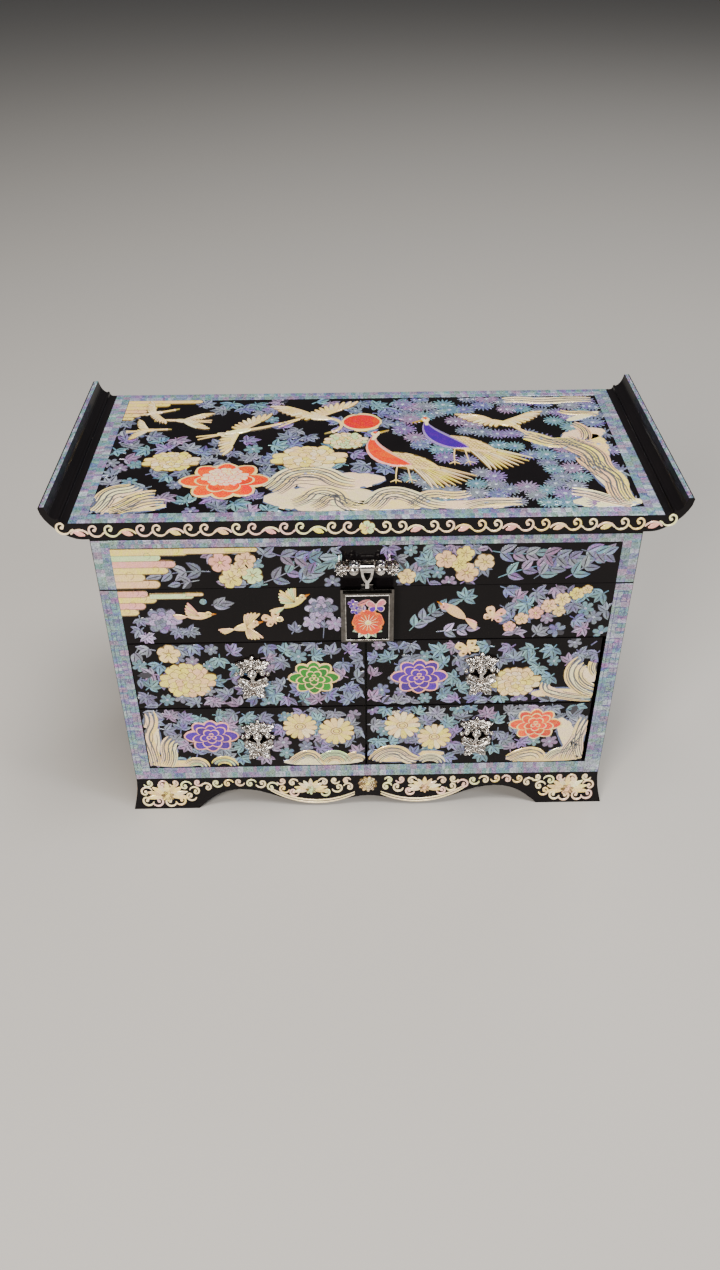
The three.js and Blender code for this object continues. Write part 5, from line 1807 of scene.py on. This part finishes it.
def line_with_velvet():
    """Velvet in the drawers and the well, and on the well's partitions."""
    for row in ("lower", "upper"):
        for side in ("left", "right"):
            node = f"drawer_lining_{row}_{side}"
            rounded_pad(
                f"drawer_velvet_{row}_{side}", *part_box(node), f"drawer_{row}_{side}", 0.5 * MM, 0.12,
                (node,), 0.8,
            )
    rounded_pad("well_velvet", *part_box("well_lining"), "carcass", 0.4 * MM, 0.10, ("well_lining",), 0.8)
    for part in ("front", "left", "right", "long"):
        node = f"well_partition_{part}"
        rounded_pad(f"partition_velvet_{part}", *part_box(node), "carcass", 0.0, 0.14, (node,), 0.9, 30, 72)


def ring_rolls():
    """The ring cushion: five velvet rolls side by side over a base pad. Each roll's half
    section is a circle that stays wide along the roll and closes quickly, as the 0.09th power
    of a parabola, at its two ends."""
    low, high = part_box("ring_cushion")
    rolls = 5
    pitch = (high.y - low.y) / rolls
    rings, sides = 60, 28
    u = np.linspace(0, 1, rings)[None, :, None]
    turn = np.arange(sides)[None, None, :] / sides * 2 * np.pi
    number = np.arange(rolls)[:, None, None]
    radius = 0.49 * pitch * (np.clip(1 - (2 * u - 1) ** 2, 0, 1) ** 0.09) * (0.995 + 0.005 * np.cos(40 * u))
    radius = np.where((u == 0) | (u == 1), 0.3 * pitch, radius)
    x = low.x + (high.x - low.x) * u + 0 * turn + 0 * number
    y = low.y + pitch * (number + 0.5) + radius * np.cos(turn)
    z = high.z - 0.5 * pitch + radius * np.sin(turn)
    points = np.stack([x, y + 0 * x, z + 0 * x], -1).reshape(-1, 3)
    quads, caps = tube_faces(rolls, rings, sides)
    mesh, _ = fill_mesh("ring_rolls", points, quads, caps, True)
    piece = show(mesh, "ring_rolls", "carcass", VELVET, ("ring_cushion",))
    base_top = high.z - 0.55 * pitch
    rounded_pad(
        "ring_base", (low.x, low.y, low.z), (high.x, high.y, base_top), "carcass", 0.0, 0.1, (), 0.8,
    )


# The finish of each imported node, by the start of its name; the first that fits holds.
FINISHES = (
    ("clasp_tile", LACQUER),
    ("clasp_frame", GUNMETAL),
    ("clasp_", NICKEL),
    ("pull_", NICKEL),
    ("hinge_", BRASS),
    ("mirror_frame", LACQUER),
    ("mirror", MIRROR),
    ("drawer_lining_", VELVET),
    ("well_", VELVET),
    ("ring_cushion", VELVET),
    ("drawer_box_", WOOD),
    ("drawer_shelf", WOOD),
    ("divider_", LACQUER),
    ("floor_panel", WOOD),
    ("", LACQUER),
)


def dress_frame():
    """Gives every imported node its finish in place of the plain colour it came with."""
    for name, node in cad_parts.items():
        finish = next(material for start, material in FINISHES if name.startswith(start))
        for slot in node.material_slots:
            slot.material = finish
        if not node.material_slots:
            node.data.materials.append(finish)


dress_frame()
lay_lid_front()
lay_carcass_front()
for drawer, picture in DRAWER_PICTURES.items():
    lay_drawer(drawer, *picture)
lay_top()
lay_tips_and_edge()
lay_base("base_front_inlay", (0, -62 * MM, 0), FRONT, 135, 21, True)
lay_base("base_left_inlay", (-135 * MM, 0, 0), LEFT, 62, 22, False)
lay_base("base_right_inlay", (135 * MM, 0, 0), RIGHT, 62, 23, False)
lay_side("side_left_inlay", (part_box("side_left")[0].x, 0, 0), LEFT, -1, 24)
lay_side("side_right_inlay", (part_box("side_right")[1].x, 0, 0), RIGHT, 1, 25)
lay_lid_side("lid_left_inlay", (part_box("lid_left")[0].x, 0, 0), LEFT, 26)
lay_lid_side("lid_right_inlay", (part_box("lid_right")[1].x, 0, 0), RIGHT, 27)
lay_back("back_inlay", "back_panel", "carcass", 21.8, 156.2, 28)
lay_back("lid_back_inlay", "lid_back", "lid", 157.1, 191.5, 29)
lay_clasp_picture()
hang_pulls()
trim_clasp()
hinge_screws()
line_with_velvet()
ring_rolls()

place_camera()
light_the_studio()
lay_floor()
